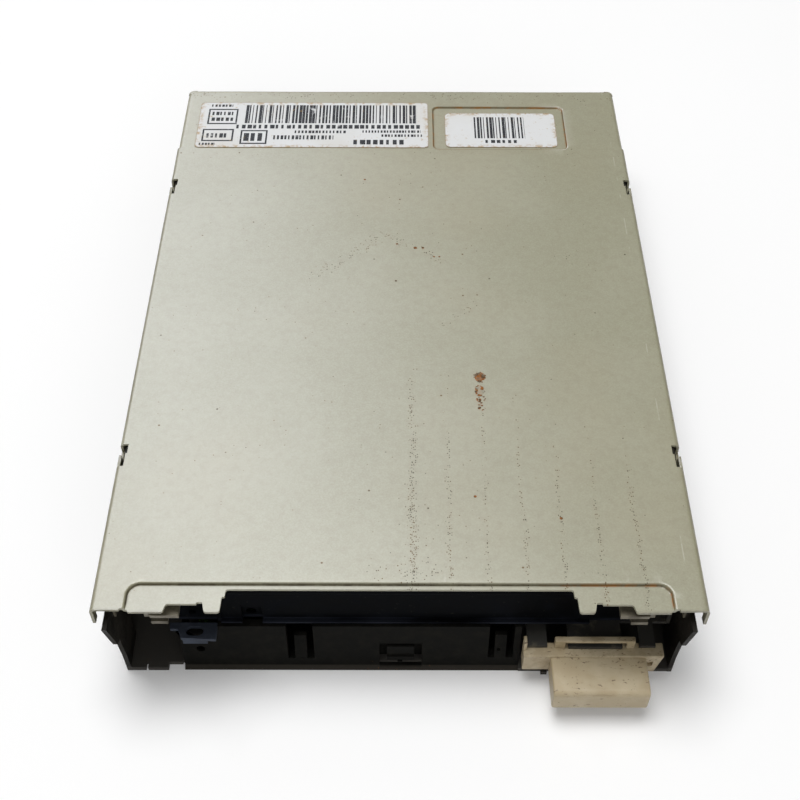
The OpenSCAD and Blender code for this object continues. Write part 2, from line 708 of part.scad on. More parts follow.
// Beige moulded eject button with wings, nose and a bridge over the bracket tongue
module eject_button() {
    color("#b9a88a")
    difference() {
        union() {
            side_wing();
            nose_block();
            box([button_mid - 7.65, button_mid + 6.35], [front_y + 2.6, front_y + 3.65],
                [wing_z + wing_h - e, wing_z + wing_h + bridge_h]);
            box([button_x, button_x + 0.55], [front_y + 2.2, front_y + 3.7],
                [wing_z + wing_h - e, wing_z + wing_h + bridge_h]);
        }
        box([button_mid - 5.85, button_mid + 4.9], [front_y + 2, front_y + 5],
            [wing_z + wing_h, bracket_z + bracket_t + 1]);
        box([button_x + wing_w - 2.85, button_x + wing_w - 1.75], [wing_y - 1, wing_y + 0.6],
            [wing_z + 1.3, wing_z + 2.9]);
    }
}

// Flat wings of the button, the right end cut on a slant
module side_wing() {
    translate([button_x, wing_y, wing_z]) rotate([90, 0, 0]) mirror([0, 0, 1]) linear_extrude(2.8)
        polygon([[0, 0], [12, 0], [12, -0.8], [wing_w - 1.05, -0.8], [wing_w, wing_h], [0, wing_h]]);
}

// Nose of the button with a rounded top edge and a draft
module nose_block() {
    r = 0.8;
    x = [button_mid - nose_w / 2, button_mid + nose_w / 2];
    z = wing_z - 0.8;
    front = wing_y - nose_l;
    side_plate(x, [[wing_y + 0.5, z], [front + 0.3, z], [front, z + 0.3], [front, z + nose_h - r],
        [front + r, z + nose_h - r], [front + r, z + nose_h], [wing_y + 0.5, z + nose_h + 0.05]]);
    bar_x(x, front + r, z + nose_h - r, r);
}

// Two tension springs between the holder lugs and the slide
module slide_springs() {
    color("#9a9a94")
    both_sides() translate([spring_x, spring_y[0] - 0.3, slide_z + 0.3]) rotate([-90, 0, 0])
        coil(1.1, 0.22, 12, spring_l);
}

// Holder channel that takes the disk: roof, side walls and ledges under the disk edges
module disk_holder() {
    color("#8b8a84")
    difference() {
        union() {
            box([-holder_out, holder_out], [roof_front, holder_rear], [roof_z, roof_top]);
            both_sides() {
                box([holder_in - 3.2, holder_out], [holder_front, roof_front + 1], [roof_z, roof_top]);
                box([holder_in, holder_out], [holder_front, holder_rear], [ledge_z - holder_t, roof_top]);
                box([holder_in - 2.5, holder_out], [holder_front, holder_rear], [ledge_z - holder_t, ledge_z]);
                box([spring_x - 0.5, spring_x + 0.5], [spring_y[0] - 0.8, spring_y[0] + 1],
                    [roof_top - 0.2, slide_top + 0.2]);
            }
        }
        box([-window_half, window_half], [window_front, holder_rear + 1], [roof_z - 1, roof_top + 1]);
        round_plate([-20, 20], [roof_front + 8, roof_front + 22], [roof_z - 1, roof_top + 1], 3);
        both_sides() for (y = pin_y)
            bar_x([holder_in - 1, holder_out + 1], y, pin_z, pin_r + set_fit);
        both_sides()
            bar_x([spring_x - 1, spring_x + 1], spring_y[0] - 0.3 + spring_l / 48, slide_z - 0.74, 0.38);
        bar_z(trigger_x, trigger_y, [roof_z - 1, roof_top + 1], 1.5 + set_fit);
    }
}

// Pins of the holder that ride in the cam slots and the chassis slots
module holder_pins() {
    color("#a3a29c")
    both_sides() for (y = pin_y)
        bar_x([holder_in + 0.05, pin_end], y, pin_z, pin_r);
}

// Lever that the disk pushes back, its finger hanging into the disk space
module trigger_lever() {
    color("#9b9a92")
    translate([trigger_x, trigger_y, 0]) difference() {
        union() {
            bar_z(0, 0, [trigger_z, trigger_z + trigger_t], 3.2);
            rotate([0, 0, 180 + trigger_turn]) {
                box([0, trigger_l], [-1.8, 1.8], [trigger_z, trigger_z + trigger_t]);
                bar_z(trigger_l, 0, [trigger_z, trigger_z + trigger_t], 1.8);
                bar_z(trigger_l, 0, [raised_z + 1, trigger_z + e], 1);
            }
            rotate([0, 0, 60]) {
                box([0, 8], [-1.4, 1.4], [trigger_z, trigger_z + trigger_t]);
                box([7.2, 8], [-1.4, 1.4], [trigger_z, trigger_z + 1.8]);
            }
        }
        bar_z(0, 0, [trigger_z - 1, trigger_z + 3], 1.5 + run_fit);
    }
}

// Rivet on which the trigger lever turns
module trigger_rivet() {
    color("#a3a29c") {
        bar_z(trigger_x, trigger_y, [roof_z + 0.05, trigger_z + 2.3], 1.5);
        bar_z(trigger_x, trigger_y, [trigger_z + 2.3 - e, trigger_z + 2.8], 2.7);
    }
}

// Return spring of the trigger lever
module trigger_spring() {
    color("#8f8f8a")
    translate([trigger_x, trigger_y, trigger_z + trigger_t + 0.3])
        coil(2.1, 0.18, 1.5, 1.2);
}

// Steel cored board of the spindle motor
module motor_board() {
    color("#2f4a3a")
    difference() {
        round_plate([-motor_half, motor_half], motor_y, [board_z, motor_top], 2);
        bar_z(0, spindle_y, [board_z - 1, motor_top + 1], bearing_r + set_fit);
        for (p = motor_posts)
            bar_z(p[0], p[1], [board_z - 1, motor_top + 1], 1.2);
    }
}

// Stack of stator plates with radial teeth
module stator_core() {
    color("#6d6a63")
    translate([0, spindle_y, 0]) difference() {
        union() {
            bar_z(0, 0, core_z, 9.5);
            intersection() {
                bar_z(0, 0, core_z, magnet_in - 0.5);
                for (i = [0 : teeth - 1]) rotate([0, 0, 360 * i / teeth]) {
                    box([6, magnet_in], [-1.3, 1.3], core_z);
                    box([magnet_in - 2.4, magnet_in], [-4.6, 4.6], core_z);
                }
            }
        }
        bar_z(0, 0, [0, 20], bearing_r + set_fit);
    }
}

// Copper windings on the teeth
module stator_coils() {
    color("#a5622f")
    translate([0, spindle_y, 0])
        for (i = [0 : teeth - 1]) rotate([0, 0, 360 * i / teeth]) difference() {
            round_plate([10.4, magnet_in - 2.8], [-2.5, 2.5], [core_z[0] - 0.4, core_z[1] + 0.4], 0.6);
            box([9, magnet_in], [-1.35, 1.35], [core_z[0] - 0.05, core_z[1] + 0.05]);
        }
}

// Flanged bearing pressed into the motor board
module spindle_bearing() {
    color("#8c7a4e")
    translate([0, spindle_y, 0]) difference() {
        union() {
            bar_z(0, 0, [floor_t + 0.3, rotor_z[1] - rotor_t - 0.4], bearing_r);
            bar_z(0, 0, [motor_top, core_z[0]], bearing_r + 2);
        }
        bar_z(0, 0, [0, 20], shaft_r + run_fit);
    }
}

// Rotor cup with its skirt
module rotor_cup() {
    color("#8e8d88")
    translate([0, spindle_y, 0]) difference() {
        bar_z(0, 0, rotor_z, rotor_r);
        bar_z(0, 0, [0, rotor_z[1] - rotor_t], rotor_r - rotor_t);
        bar_z(0, 0, [0, 20], shaft_r + set_fit);
        for (i = [0 : 5]) rotate([0, 0, 60 * i + 30])
            bar_z(15.5, 0, [0, 20], 2.2);
    }
}

// Ring magnet in the rotor skirt
module rotor_magnet() {
    color("#3b3836")
    translate([0, spindle_y, 0]) difference() {
        bar_z(0, 0, [rotor_z[0] + 0.2, rotor_z[1] - rotor_t], rotor_r - rotor_t - set_fit);
        bar_z(0, 0, [0, 20], magnet_in);
    }
}

// Spindle shaft with a pointed tip
module spindle_shaft() {
    color("#b5b4ae")
    translate([0, spindle_y, 0]) {
        bar_z(0, 0, [floor_t + 0.5, disk_z + 1.3], shaft_r);
        translate([0, 0, disk_z + 1.3 - e]) cylinder(h = 0.6, r1 = shaft_r, r2 = shaft_r - 0.5);
    }
}

// Chuck disc that carries the disk hub
module disk_chuck() {
    color("#9c9b95")
    translate([0, spindle_y, 0]) difference() {
        union() {
            bar_z(0, 0, [rotor_z[1], chuck_z + e], 5.5);
            bar_z(0, 0, [chuck_z, disk_z], chuck_r);
        }
        bar_z(0, 0, [0, 20], shaft_r + set_fit);
        bar_z(drive_r, 0, [0, 20], 1.2 + run_fit);
    }
}

// Sprung pin that finds the drive hole of the disk hub
module drive_pin() {
    color("#b0afa8")
    translate([drive_r, spindle_y, 0]) {
        bar_z(0, 0, [chuck_z - 0.6, disk_z + 1.2], 1.2);
        bar_z(0, 0, [chuck_z - 0.6, chuck_z - 0.1], 1.9);
    }
}

// Four die-cast blocks that hold the guide rods
module rod_blocks() {
    color("#9a988f")
    both_sides() for (y = [rod_yy[0], rod_yy[1] - 3]) difference() {
        box([rod_x - 2, rod_x + 2], [y, y + 3], [floor_t, rod_z + 2]);
        bar_y(rod_x, [y - 1, y + 4], rod_z, rod_r + set_fit);
    }
}

// Two ground steel rods for the carriage
module guide_rods() {
    color("#bdbcb6")
    both_sides() bar_y(rod_x, [rod_yy[0] - 0.4, rod_yy[1] + 0.4], rod_z, rod_r);
}

// Moulded head carriage on the rods, with cheeks for the upper arm and a follower arm
module head_carriage() {
    color("#4c4b50")
    difference() {
        union() {
            box([-carriage_half, carriage_half], carriage_y, carriage_z);
            box([-5, 5], [track_y - 5.5, carriage_y[0] + 4], [carriage_z[1] - 0.6, media_z - 1.1]);
            both_sides()
                box([5.2, 7], [arm_pivot[0] - 2.5, arm_pivot[0] + 3], [carriage_z[1] - 1, arm_pivot[1] + 1.7]);
            box([carriage_half - 2, screw_x - screw_r - 1.6], [follower_y - 2, follower_y + 2],
                [carriage_z[1] - 1, screw_z + 1.1]);
            box([-carriage_half - 5, -carriage_half + e], [carriage_y[0] + 5, carriage_y[0] + 9],
                [flag_z - 0.3, flag_z + 0.3]);
        }
        both_sides()
            bar_y(rod_x, [carriage_y[0] - 1, carriage_y[1] + 1], rod_z, rod_r + run_fit);
        bar_x([-10, 10], arm_pivot[0], arm_pivot[1], arm_pin_r + set_fit);
        bar_x([screw_x - screw_r - 4.5, screw_x], follower_y, screw_z, 0.35 + set_fit);
        box([-3.5, 3.5], [carriage_y[0] + 7, carriage_y[1] - 7], [carriage_z[1] - 2, carriage_z[1] + e]);
    }
}

// Needle in the groove of the lead screw
module follower_pin() {
    color("#c3c2bc")
    bar_x([screw_x - screw_r - 4.3, screw_x - groove_r - 0.2], follower_y, screw_z, 0.35);
}

// Lower head on the nose of the carriage
module lower_head() {
    color("#77726a") {
        round_plate([-3, 3], [track_y - 3, track_y + 3], [media_z - 1.1, media_z - 0.5], 0.6);
        round_plate([-1.6, 1.6], [track_y - 2, track_y + 2], [media_z - 0.6, media_z - 0.1], 0.4);
    }
}

// Pin on which the upper arm swings
module arm_pin() {
    color("#b4b3ad")
    bar_x([-7.1, 10], arm_pivot[0], arm_pivot[1], arm_pin_r);
}

// Turns its children from the loaded to the lifted state of the upper arm
module lifted() {
    translate([0, arm_pivot[0], arm_pivot[1]]) rotate([-head_lift, 0, 0])
        translate([0, -arm_pivot[0], -arm_pivot[1]]) children();
}

// Upper head arm
module upper_arm() {
    color("#57554f")
    lifted() difference() {
        union() {
            bar_x([-5, 5], arm_pivot[0], arm_pivot[1], 1.9);
            box([-4.2, 4.2], [track_y - 4.5, arm_pivot[0]], [media_z + 1.25, media_z + 2.85]);
            box([-3.4, 3.4], [track_y - 3.5, track_y + 3.5], [media_z + 0.95, media_z + 1.35]);
        }
        bar_x([-6, 6], arm_pivot[0], arm_pivot[1], arm_pin_r + run_fit);
        box([-1.8, 1.8], [track_y + 7, arm_pivot[0] - 5], [media_z + 2, media_z + 4]);
    }
}

// Upper head under its arm
module upper_head() {
    color("#77726a")
    lifted() {
        round_plate([-2.6, 2.6], [track_y - 2.5, track_y + 2.5], [media_z + 0.5, media_z + 0.95], 0.6);
        round_plate([-1.6, 1.6], [track_y - 2, track_y + 2], [media_z + 0.1, media_z + 0.6], 0.4);
    }
}

// Torsion spring that presses the upper arm down
module arm_spring() {
    color("#8f8f8a")
    translate([7.4, arm_pivot[0], arm_pivot[1]]) rotate([0, 90, 0])
        coil(arm_pin_r + 0.45, 0.18, 2.5, 2);
}

// Stepper motor can with its rear boss
module stepper_motor() {
    color("#8a8880")
    difference() {
        union() {
            bar_y(screw_x, [stepper_y, stepper_y + stepper_l], screw_z, stepper_r);
            bar_y(screw_x, [stepper_y + stepper_l - e, stepper_y + stepper_l + 0.8], screw_z, 2.4);
            box([screw_x - 4, screw_x + 4], [stepper_y + 3, stepper_y + 10], [board_top + 0.1, screw_z]);
        }
        bar_y(screw_x, [stepper_y - 1, stepper_y + 10], screw_z, screw_r - 0.3 + run_fit);
    }
}

// Steel bracket that carries the stepper and the front pivot of the screw
module stepper_bracket() {
    color("#84817a")
    difference() {
        union() {
            box([screw_x - stepper_r - 0.4, screw_x + stepper_r + 0.4], [stepper_y - 1.2, stepper_y],
                [floor_t, screw_z + stepper_r]);
            box([screw_x - stepper_r - 0.4, screw_x + stepper_r + 0.4], [stepper_y - 5, stepper_y],
                [floor_t, floor_t + 1.2]);
            box([screw_x + 4, screw_x + 5.5], [pivot_y, stepper_y], [10, screw_z + 2.7]);
            box([screw_x - 2.5, screw_x + 5.5], [pivot_y, pivot_y + 1.2], [10, screw_z + 2.7]);
        }
        bar_y(screw_x, [stepper_y - 2, stepper_y + 1], screw_z, screw_r + 0.7);
        bar_y(screw_x, [pivot_y - 1, pivot_y + 2], screw_z, 0.8 + run_fit);
    }
}

// Lead screw with one wide helical groove, its pivot tip and its shaft in the stepper
module lead_screw() {
    thread_y = [pivot_y + 1.8, stepper_y - 4.4];
    length = thread_y[1] - thread_y[0];
    turn = -360 * length / screw_lead;
    phase = 180 + 360 * (follower_y - thread_y[0]) / screw_lead;
    color("#c0bfb8") {
        translate([screw_x, thread_y[0], screw_z]) rotate([-90, 0, 0])
            linear_extrude(length, twist = -turn, slices = ceil(12 * length / screw_lead))
                rotate(phase) polygon(concat(
                    [for (a = [-65 : 32.5 : 65]) groove_r * [cos(a), sin(a)]],
                    [for (a = [80 : 25 : 280]) screw_r * [cos(a), sin(a)]]));
        bar_y(screw_x, [pivot_y + 0.1, thread_y[0] + 0.2], screw_z, 0.8);
        bar_y(screw_x, [thread_y[1] - 0.2, stepper_y + 9.4], screw_z, screw_r - 0.3);
    }
}

// Flat cable from the carriage to its socket on the main board
module head_flex() {
    y = carriage_y[1];
    s = main_step;
    z = carriage_z[1] - 1.5;
    low = board_top + 2.3;
    mid = (z + low) / 2;
    color("#b08a3c")
    side_plate([-7, -1], [[y, z], [y + 4, z + 0.4], [s - 1.6, z - 0.1], [s + 0.2, mid], [s + 1.2, low],
        [s + 1.5, low], [s + 0.5, mid + 0.2], [s - 1.4, z + 0.2], [y + 4, z + 0.7], [y, z + 0.3]]);
}

// Main circuit board, cut out round the head train
module main_board() {
    color("#3d5a3a")
    difference() {
        round_plate([-main_half, main_half], [main_front, main_rear], [board_z, board_top], 1);
        box(cutout, [main_front - 1, main_step], [board_z - 1, board_top + 1]);
        for (p = board_posts)
            bar_z(p[0], p[1], [board_z - 1, board_top + 1], 1.2);
    }
}

// Shroud of a header, open to the rear
module shroud(mid, half, h, wall) {
    difference() {
        box([mid - half, mid + half], header_y, [board_top, board_top + h]);
        box([mid - half + wall, mid + half - wall], [header_y[0] + 2.2, header_y[1] + 1],
            [board_top + wall, board_top + h - wall]);
    }
}

// Signal header shroud with its key slot
module signal_header() {
    color("#2a2a2c")
    difference() {
        shroud(header_x, header_half, header_h, 1.2);
        box([header_x - 2.2, header_x + 2.2], [header_y[0] + 3, header_y[1] + 1],
            [board_top + header_h - 2, board_top + header_h + 1]);
        for (i = [0 : pin_count - 1]) for (row = [-0.5, 0.5]) {
            x = header_x + (i - (pin_count - 1) / 2) * pin_pitch;
            translate([x, 0, board_top + header_h / 2 + row * pin_pitch])
                box([-0.35, 0.35], [header_y[0] - 1, header_y[0] + 4], [-0.35, 0.35]);
        }
    }
}

// Square pins of the signal header, bent down to the board
module signal_pins() {
    color("#b59a4a")
    for (i = [0 : pin_count - 1]) for (row = [0, 1]) {
        x = header_x + (i - (pin_count - 1) / 2) * pin_pitch;
        z = board_top + header_h / 2 + (row - 0.5) * pin_pitch;
        leg = header_y[0] - 1.2 - 2.4 * row;
        box([x - 0.32, x + 0.32], [leg, header_y[1] - 1], [z - 0.32, z + 0.32]);
        box([x - 0.32, x + 0.32], [leg, leg + 0.64], [board_top, z]);
    }
}

// Power header shroud
module power_header() {
    color("#d9d5c6")
    difference() {
        shroud(power_x, power_half, 7.4, 1);
        for (i = [0 : 3])
            translate([power_x + (i - 1.5) * power_pitch, 0, board_top + 3.7])
                box([-0.5, 0.5], [header_y[0] - 1, header_y[0] + 4], [-0.5, 0.5]);
        box([power_x - 1.6, power_x + 1.6], [header_y[0] + 3, header_y[1] + 1], [board_top + 6, board_top + 9]);
    }
}

// Pins of the power header
module power_pins() {
    color("#b8b6ad")
    for (i = [0 : 3]) {
        x = power_x + (i - 1.5) * power_pitch;
        box([x - 0.45, x + 0.45], [header_y[0] - 1.4, header_y[1] - 1.4], [board_top + 3.25, board_top + 4.15]);
        box([x - 0.45, x + 0.45], [header_y[0] - 1.4, header_y[0] - 0.5], [board_top, board_top + 4]);
    }
}

// Square controller package with its rows of legs
module controller_chip() {
    mid = [15.5 - main_half, main_front + 16.2];
    color("#232325")
    translate([mid[0], mid[1], board_top]) {
        box([-6, 6], [-6, 6], [0.2, 2.2]);
        for (turn = [0 : 3]) rotate([0, 0, 90 * turn]) for (i = [-6 : 6])
            box([i * 0.85 - 0.2, i * 0.85 + 0.2], [5.6, 7.4], [0, 0.6]);
    }
}

// Two long driver packages
module driver_chips() {
    color("#29292b")
    for (p = [[13.5 - main_half, header_y[0] - 6.6], [main_half - 5.5, main_front + 13]])
        translate([p[0], p[1], board_top]) {
            box([-4, 4], [-1.8, 1.8], [0.2, 1.8]);
            for (i = [-3 : 3]) box([i * 1.1 - 0.2, i * 1.1 + 0.2], [-2.6, 2.6], [0, 0.6]);
        }
}

// Round capacitors on the right arm of the board
module capacitors() {
    color("#3b4656")
    for (p = [[main_half - 8, main_front + 20.5], [main_half - 3.5, main_front + 24],
        [main_half - 8, main_front + 27]])
        bar_z(p[0], p[1], [board_top, board_top + 5.4], 2);
}

// Small parts in rows
module chip_parts() {
    color("#7d7364") {
        for (i = [0 : 5])
            translate([3.5 - main_half, main_front + 9 + 2.2 * i, board_top]) cube([1.6, 0.9, 0.5]);
        for (i = [0 : 4])
            translate([header_x + header_half + 3 + 1.7 * i, main_rear - 4, board_top]) cube([1, 1.8, 0.6]);
        for (i = [0 : 4])
            translate([9.5 - main_half + 1.1 * i, main_front + 2, board_top]) cube([0.7, 1.6, 0.5]);
    }
}

// Socket of the flat cable
module flex_socket() {
    color("#cfc9b8")
    box([-8, 0], [main_step + 0.4, main_step + 2.4], [board_top, board_top + 2.3]);
}

// Slotted light gate for the outermost track
module track_sensor() {
    color("#262628")
    difference() {
        box([cutout[0] - 6, cutout[0] - 0.5], [carriage_y[0] + 3.5, carriage_y[0] + 10.5],
            [board_top, flag_z + 2.7]);
        box([-carriage_half - 5.6, cutout[0] + 1], [carriage_y[0], carriage_y[0] + 14],
            [flag_z - 1, flag_z + 1]);
    }
}

// Lamp behind the pinhole of the guide wall, its legs bent to the motor board
module activity_lamp() {
    x = guide_left + 3.75;
    y = guide_foot_y + 2.4;
    color("#7a8f5a") {
        bar_y(x, [y, y + 4], 5.34, 1.5);
        for (d = [-0.9, 0.4]) {
            box([x + d, x + d + 0.5], [y + 3.8, motor_y[0] + 1.2], [5.1, 5.6]);
            box([x + d, x + d + 0.5], [motor_y[0] + 0.7, motor_y[0] + 1.2], [motor_top, 5.6]);
        }
    }
}

// Bodies of the three sensing switches
module switch_bodies() {
    color("#1f1f21")
    for (p = switches) difference() {
        box([p[0] - 2.6, p[0] + 2.6], [p[1] - 3, p[1] + 3], [motor_top, disk_z - 1.6]);
        bar_z(p[0], p[1], [motor_top + 1.6, disk_z], 1.1 + run_fit);
    }
}

// One plunger of a sensing switch
module plunger(p) {
    color("#d8d3c2")
    bar_z(p[0], p[1], [motor_top + 3.2, disk_z + 0.6], 1.1);
}
module protect_plunger() {
    plunger(switches[0]);
}
module density_plunger() {
    plunger(switches[1]);
}
module disk_plunger() {
    plunger(switches[2]);
}

// Screw with a round head, driven down onto a board
module screw(p, top, r) {
    bar_z(p[0], p[1], [0.4, top + e], 0.95);
    bar_z(p[0], p[1], [top, top + 1.1], r);
}

// Screws of the main board
module board_screws() {
    color("#a9a79d")
    for (p = board_posts) screw(p, board_top, 1.9);
}

// Screws of the motor board
module motor_screws() {
    color("#a9a79d")
    for (p = motor_posts) screw(p, motor_top, 1.9);
}

chassis_frame();
top_cover();
label_large();
label_small();
front_guide();
bezel_boss();
flap_brackets();
flap_pin();
dust_flap();
flap_spring();
slide_plate();
button_bracket();
bracket_rivets();
eject_button();
slide_springs();
disk_holder();
holder_pins();
trigger_lever();
trigger_rivet();
trigger_spring();
motor_board();
stator_core();
stator_coils();
spindle_bearing();
rotor_cup();
rotor_magnet();
spindle_shaft();
disk_chuck();
drive_pin();
rod_blocks();
guide_rods();
head_carriage();
follower_pin();
lower_head();
arm_pin();
upper_arm();
upper_head();
arm_spring();
stepper_motor();
stepper_bracket();
lead_screw();
head_flex();
main_board();
signal_header();
signal_pins();
power_header();
power_pins();
controller_chip();
driver_chips();
capacitors();
chip_parts();
flex_socket();
track_sensor();
activity_lamp();
switch_bodies();
protect_plunger();
density_plunger();
disk_plunger();
board_screws();
motor_screws();
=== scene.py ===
import json
import math

import bpy
import numpy as np
from mathutils import Matrix, Vector

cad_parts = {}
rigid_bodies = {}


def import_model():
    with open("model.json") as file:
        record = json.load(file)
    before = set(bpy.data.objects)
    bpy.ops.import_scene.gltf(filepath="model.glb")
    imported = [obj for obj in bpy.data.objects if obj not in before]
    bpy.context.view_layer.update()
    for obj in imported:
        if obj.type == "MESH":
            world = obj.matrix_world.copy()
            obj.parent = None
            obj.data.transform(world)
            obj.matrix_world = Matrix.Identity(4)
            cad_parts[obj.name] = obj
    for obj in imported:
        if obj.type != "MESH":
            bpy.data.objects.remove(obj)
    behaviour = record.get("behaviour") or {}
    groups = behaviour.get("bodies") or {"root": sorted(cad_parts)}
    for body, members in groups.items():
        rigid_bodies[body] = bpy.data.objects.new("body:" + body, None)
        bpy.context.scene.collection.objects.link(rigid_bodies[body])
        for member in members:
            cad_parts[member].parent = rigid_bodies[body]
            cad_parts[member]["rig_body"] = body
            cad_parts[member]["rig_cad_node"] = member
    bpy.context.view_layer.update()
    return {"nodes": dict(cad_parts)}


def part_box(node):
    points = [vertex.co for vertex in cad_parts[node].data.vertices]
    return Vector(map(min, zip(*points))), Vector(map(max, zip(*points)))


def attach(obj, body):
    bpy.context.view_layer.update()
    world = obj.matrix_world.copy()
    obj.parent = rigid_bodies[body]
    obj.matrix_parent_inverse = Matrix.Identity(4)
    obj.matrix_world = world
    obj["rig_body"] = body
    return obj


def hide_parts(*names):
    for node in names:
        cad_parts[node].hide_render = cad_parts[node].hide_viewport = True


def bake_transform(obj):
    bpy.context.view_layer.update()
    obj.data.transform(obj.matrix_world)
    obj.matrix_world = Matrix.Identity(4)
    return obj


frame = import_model()


# The stage: a pale floor under an even sky, broad soft lamps overhead and behind the drive on the
# left and a weak one ahead, and the camera ahead and well above. The floor shows white and keeps
# the shadow.
WHITE = (1.0, 1.0, 1.0, 1.0)
FLOOR_GREY = (0.85, 0.85, 0.85, 1.0)
FLOOR_SIZE, FLOOR_LEVEL, FLOOR_GLOW = 6.0, -0.0001, 0.12
SKY_STRENGTH = 0.2
CAMERA_PLACE = (-0.000013, -0.171168, 0.197543)
CAMERA_TILT, CAMERA_ROLL = math.radians(40.171), 0.0022
LENS, SENSOR = 54.2, 36.0

scene = bpy.context.scene
scene.view_settings.view_transform = "Standard"
bpy.ops.object.select_all(action="DESELECT")

scene.world = bpy.data.worlds.new("sky")
scene.world.use_nodes = True
sky = scene.world.node_tree.nodes["Background"].inputs
sky["Color"].default_value = WHITE
sky["Strength"].default_value = SKY_STRENGTH


def soft_lamp(name, place, width, height, watts):
    """A broad lamp that looks at the drive."""
    bpy.ops.object.light_add(type="AREA", location=place)
    lamp = bpy.context.object
    lamp.name = name
    lamp.data.shape = "RECTANGLE"
    lamp.data.size = width
    lamp.data.size_y = height
    lamp.data.energy = watts
    lamp.rotation_euler = (-lamp.location).to_track_quat("-Z", "Y").to_euler()
    return lamp


soft_lamp("top_lamp", place=(-0.16, 0.15, 1.25), width=0.75, height=0.67, watts=13.6)
soft_lamp("front_lamp", place=(0.15, -0.95, 0.55), width=0.9, height=0.6, watts=2.2)
sheen = soft_lamp("sheen_lamp", place=(-0.50, 0.85, 0.95), width=0.9, height=0.9, watts=12.0)
sheen.visible_diffuse = False
sheen.data.color = (0.85, 0.88, 1.0)

bpy.ops.object.camera_add()
camera = bpy.context.object
camera.name = "camera"
camera.data.sensor_width = SENSOR
camera.data.lens = LENS
camera.data.clip_start = 0.01
camera.matrix_world = (
    Matrix.Translation(CAMERA_PLACE)
    @ Matrix.Rotation(CAMERA_TILT, 4, "X")
    @ Matrix.Rotation(CAMERA_ROLL, 4, "Z")
)
scene.camera = camera


class Wire:
    """An output socket of a node tree; sums on it are written as plain Python expressions."""

    def __init__(self, tree, socket=None):
        self.tree = tree
        self.socket = socket

    def add(self, kind, feeds, out=0, **settings):
        """Adds a node, sets it up, feeds its sockets and gives back one of its outputs."""
        node = self.tree.nodes.new("ShaderNode" + kind)
        for name, value in settings.items():
            setattr(node, name, value)
        for name, value in feeds.items():
            if isinstance(value, Wire):
                self.tree.links.new(value.socket, node.inputs[name])
            else:
                node.inputs[name].default_value = value
        return Wire(self.tree, node.outputs[out])

    def __add__(self, other):
        return self.add("Math", {0: self, 1: other}, operation="ADD")

    def __sub__(self, other):
        return self.add("Math", {0: self, 1: other}, operation="SUBTRACT")

    def __rsub__(self, other):
        return self.add("Math", {0: other, 1: self}, operation="SUBTRACT")

    def __mul__(self, other):
        return self.add("Math", {0: self, 1: other}, operation="MULTIPLY")

    def __gt__(self, other):
        return self.add("Math", {0: self, 1: other}, operation="GREATER_THAN")

    def __lt__(self, other):
        return self.add("Math", {0: self, 1: other}, operation="LESS_THAN")

    def __or__(self, other):
        return self.add("Math", {0: self, 1: other}, operation="MAXIMUM")

    def __abs__(self):
        return self.add("Math", {0: self}, operation="ABSOLUTE")

    __radd__ = __add__
    __rmul__ = __mul__


bpy.ops.mesh.primitive_plane_add(size=FLOOR_SIZE, location=(0.0, 0.0, FLOOR_LEVEL))
floor = bpy.context.object
floor.name = "floor"
floor_white = bpy.data.materials.new("floor_white")
floor_white.use_nodes = True
tree = floor_white.node_tree
tree.nodes.remove(tree.nodes["Principled BSDF"])
blank = Wire(tree)
seen = blank.add("LightPath", {}, out="Is Camera Ray")
for ray in ("Is Glossy Ray", "Is Transmission Ray"):
    seen = seen | blank.add("LightPath", {}, out=ray)
lit = blank.add("BsdfDiffuse", {"Color": FLOOR_GREY})
glow = blank.add("Emission", {"Color": WHITE, "Strength": seen * FLOOR_GLOW})
both = blank.add("AddShader", {0: lit, 1: glow})
tree.links.new(both.socket, tree.nodes["Material Output"].inputs["Surface"])
floor.data.materials.append(floor_white)


# The tray: one pressing of dark phosphated steel sheet, with joggled side walls, front ears, posts
# and threaded collars. Cut edges and corners are rubbed through to bright metal.
MM = 0.001
MERGE, FLAT_TURN, SHARP_TURN, SMOOTH_TURN = 0.001, 0.6, 40.0, 35.0
solids = frame["nodes"]


def tone(code):
    """A linear colour from the six-digit code of a paint card."""
    parts = [int(code[k:k + 2], 16) / 255.0 for k in (0, 2, 4)]
    return tuple(p / 12.92 if p < 0.04045 else ((p + 0.055) / 1.055) ** 2.4 for p in parts) + (1.0,)


def begin(name):
    """A new finish and the place on the piece, in millimetres."""
    coat = bpy.data.materials.new(name)
    coat.use_nodes = True
    spot = Wire(coat.node_tree).add("TexCoord", {}, out="Object")
    return coat, spot.add("VectorMath", {0: spot, "Scale": 1.0 / MM}, operation="SCALE")


def axis(spot, name):
    """One part of a place, by the name of its axis."""
    return spot.add("SeparateXYZ", {0: spot}, out=name)


def cloud(spot, size, detail=3.0, rough=0.55, pull=None):
    """Noise in lumps about size millimetres across, drawn out along an axis by pull."""
    if pull:
        spot = spot.add("VectorMath", {0: spot, 1: pull}, operation="MULTIPLY")
    feeds = {"Vector": spot, "Scale": 1.0 / size, "Detail": detail, "Roughness": rough}
    return spot.add("TexNoise", feeds)


def ease(value, low, high):
    """0 at low, 1 at high, with a soft run between."""
    feeds = {"Value": value, "From Min": low, "From Max": high}
    return value.add("MapRange", feeds, interpolation_type="SMOOTHSTEP")


def tint(mask, low, high):
    """A colour between two, by a mask."""
    return mask.add("Mix", {0: mask, 6: low, 7: high}, out=2, data_type="RGBA")


def relief(height, depth, strength=0.5):
    """Bumps of a depth in millimetres."""
    return height.add("Bump", {"Height": height, "Strength": strength, "Distance": depth * MM})


def dress(coat, feeds):
    """Feeds the surface shader of a finish."""
    shader = coat.node_tree.nodes["Principled BSDF"]
    for name, value in feeds.items():
        if isinstance(value, Wire):
            coat.node_tree.links.new(value.socket, shader.inputs[name])
        else:
            shader.inputs[name].default_value = value
    return coat


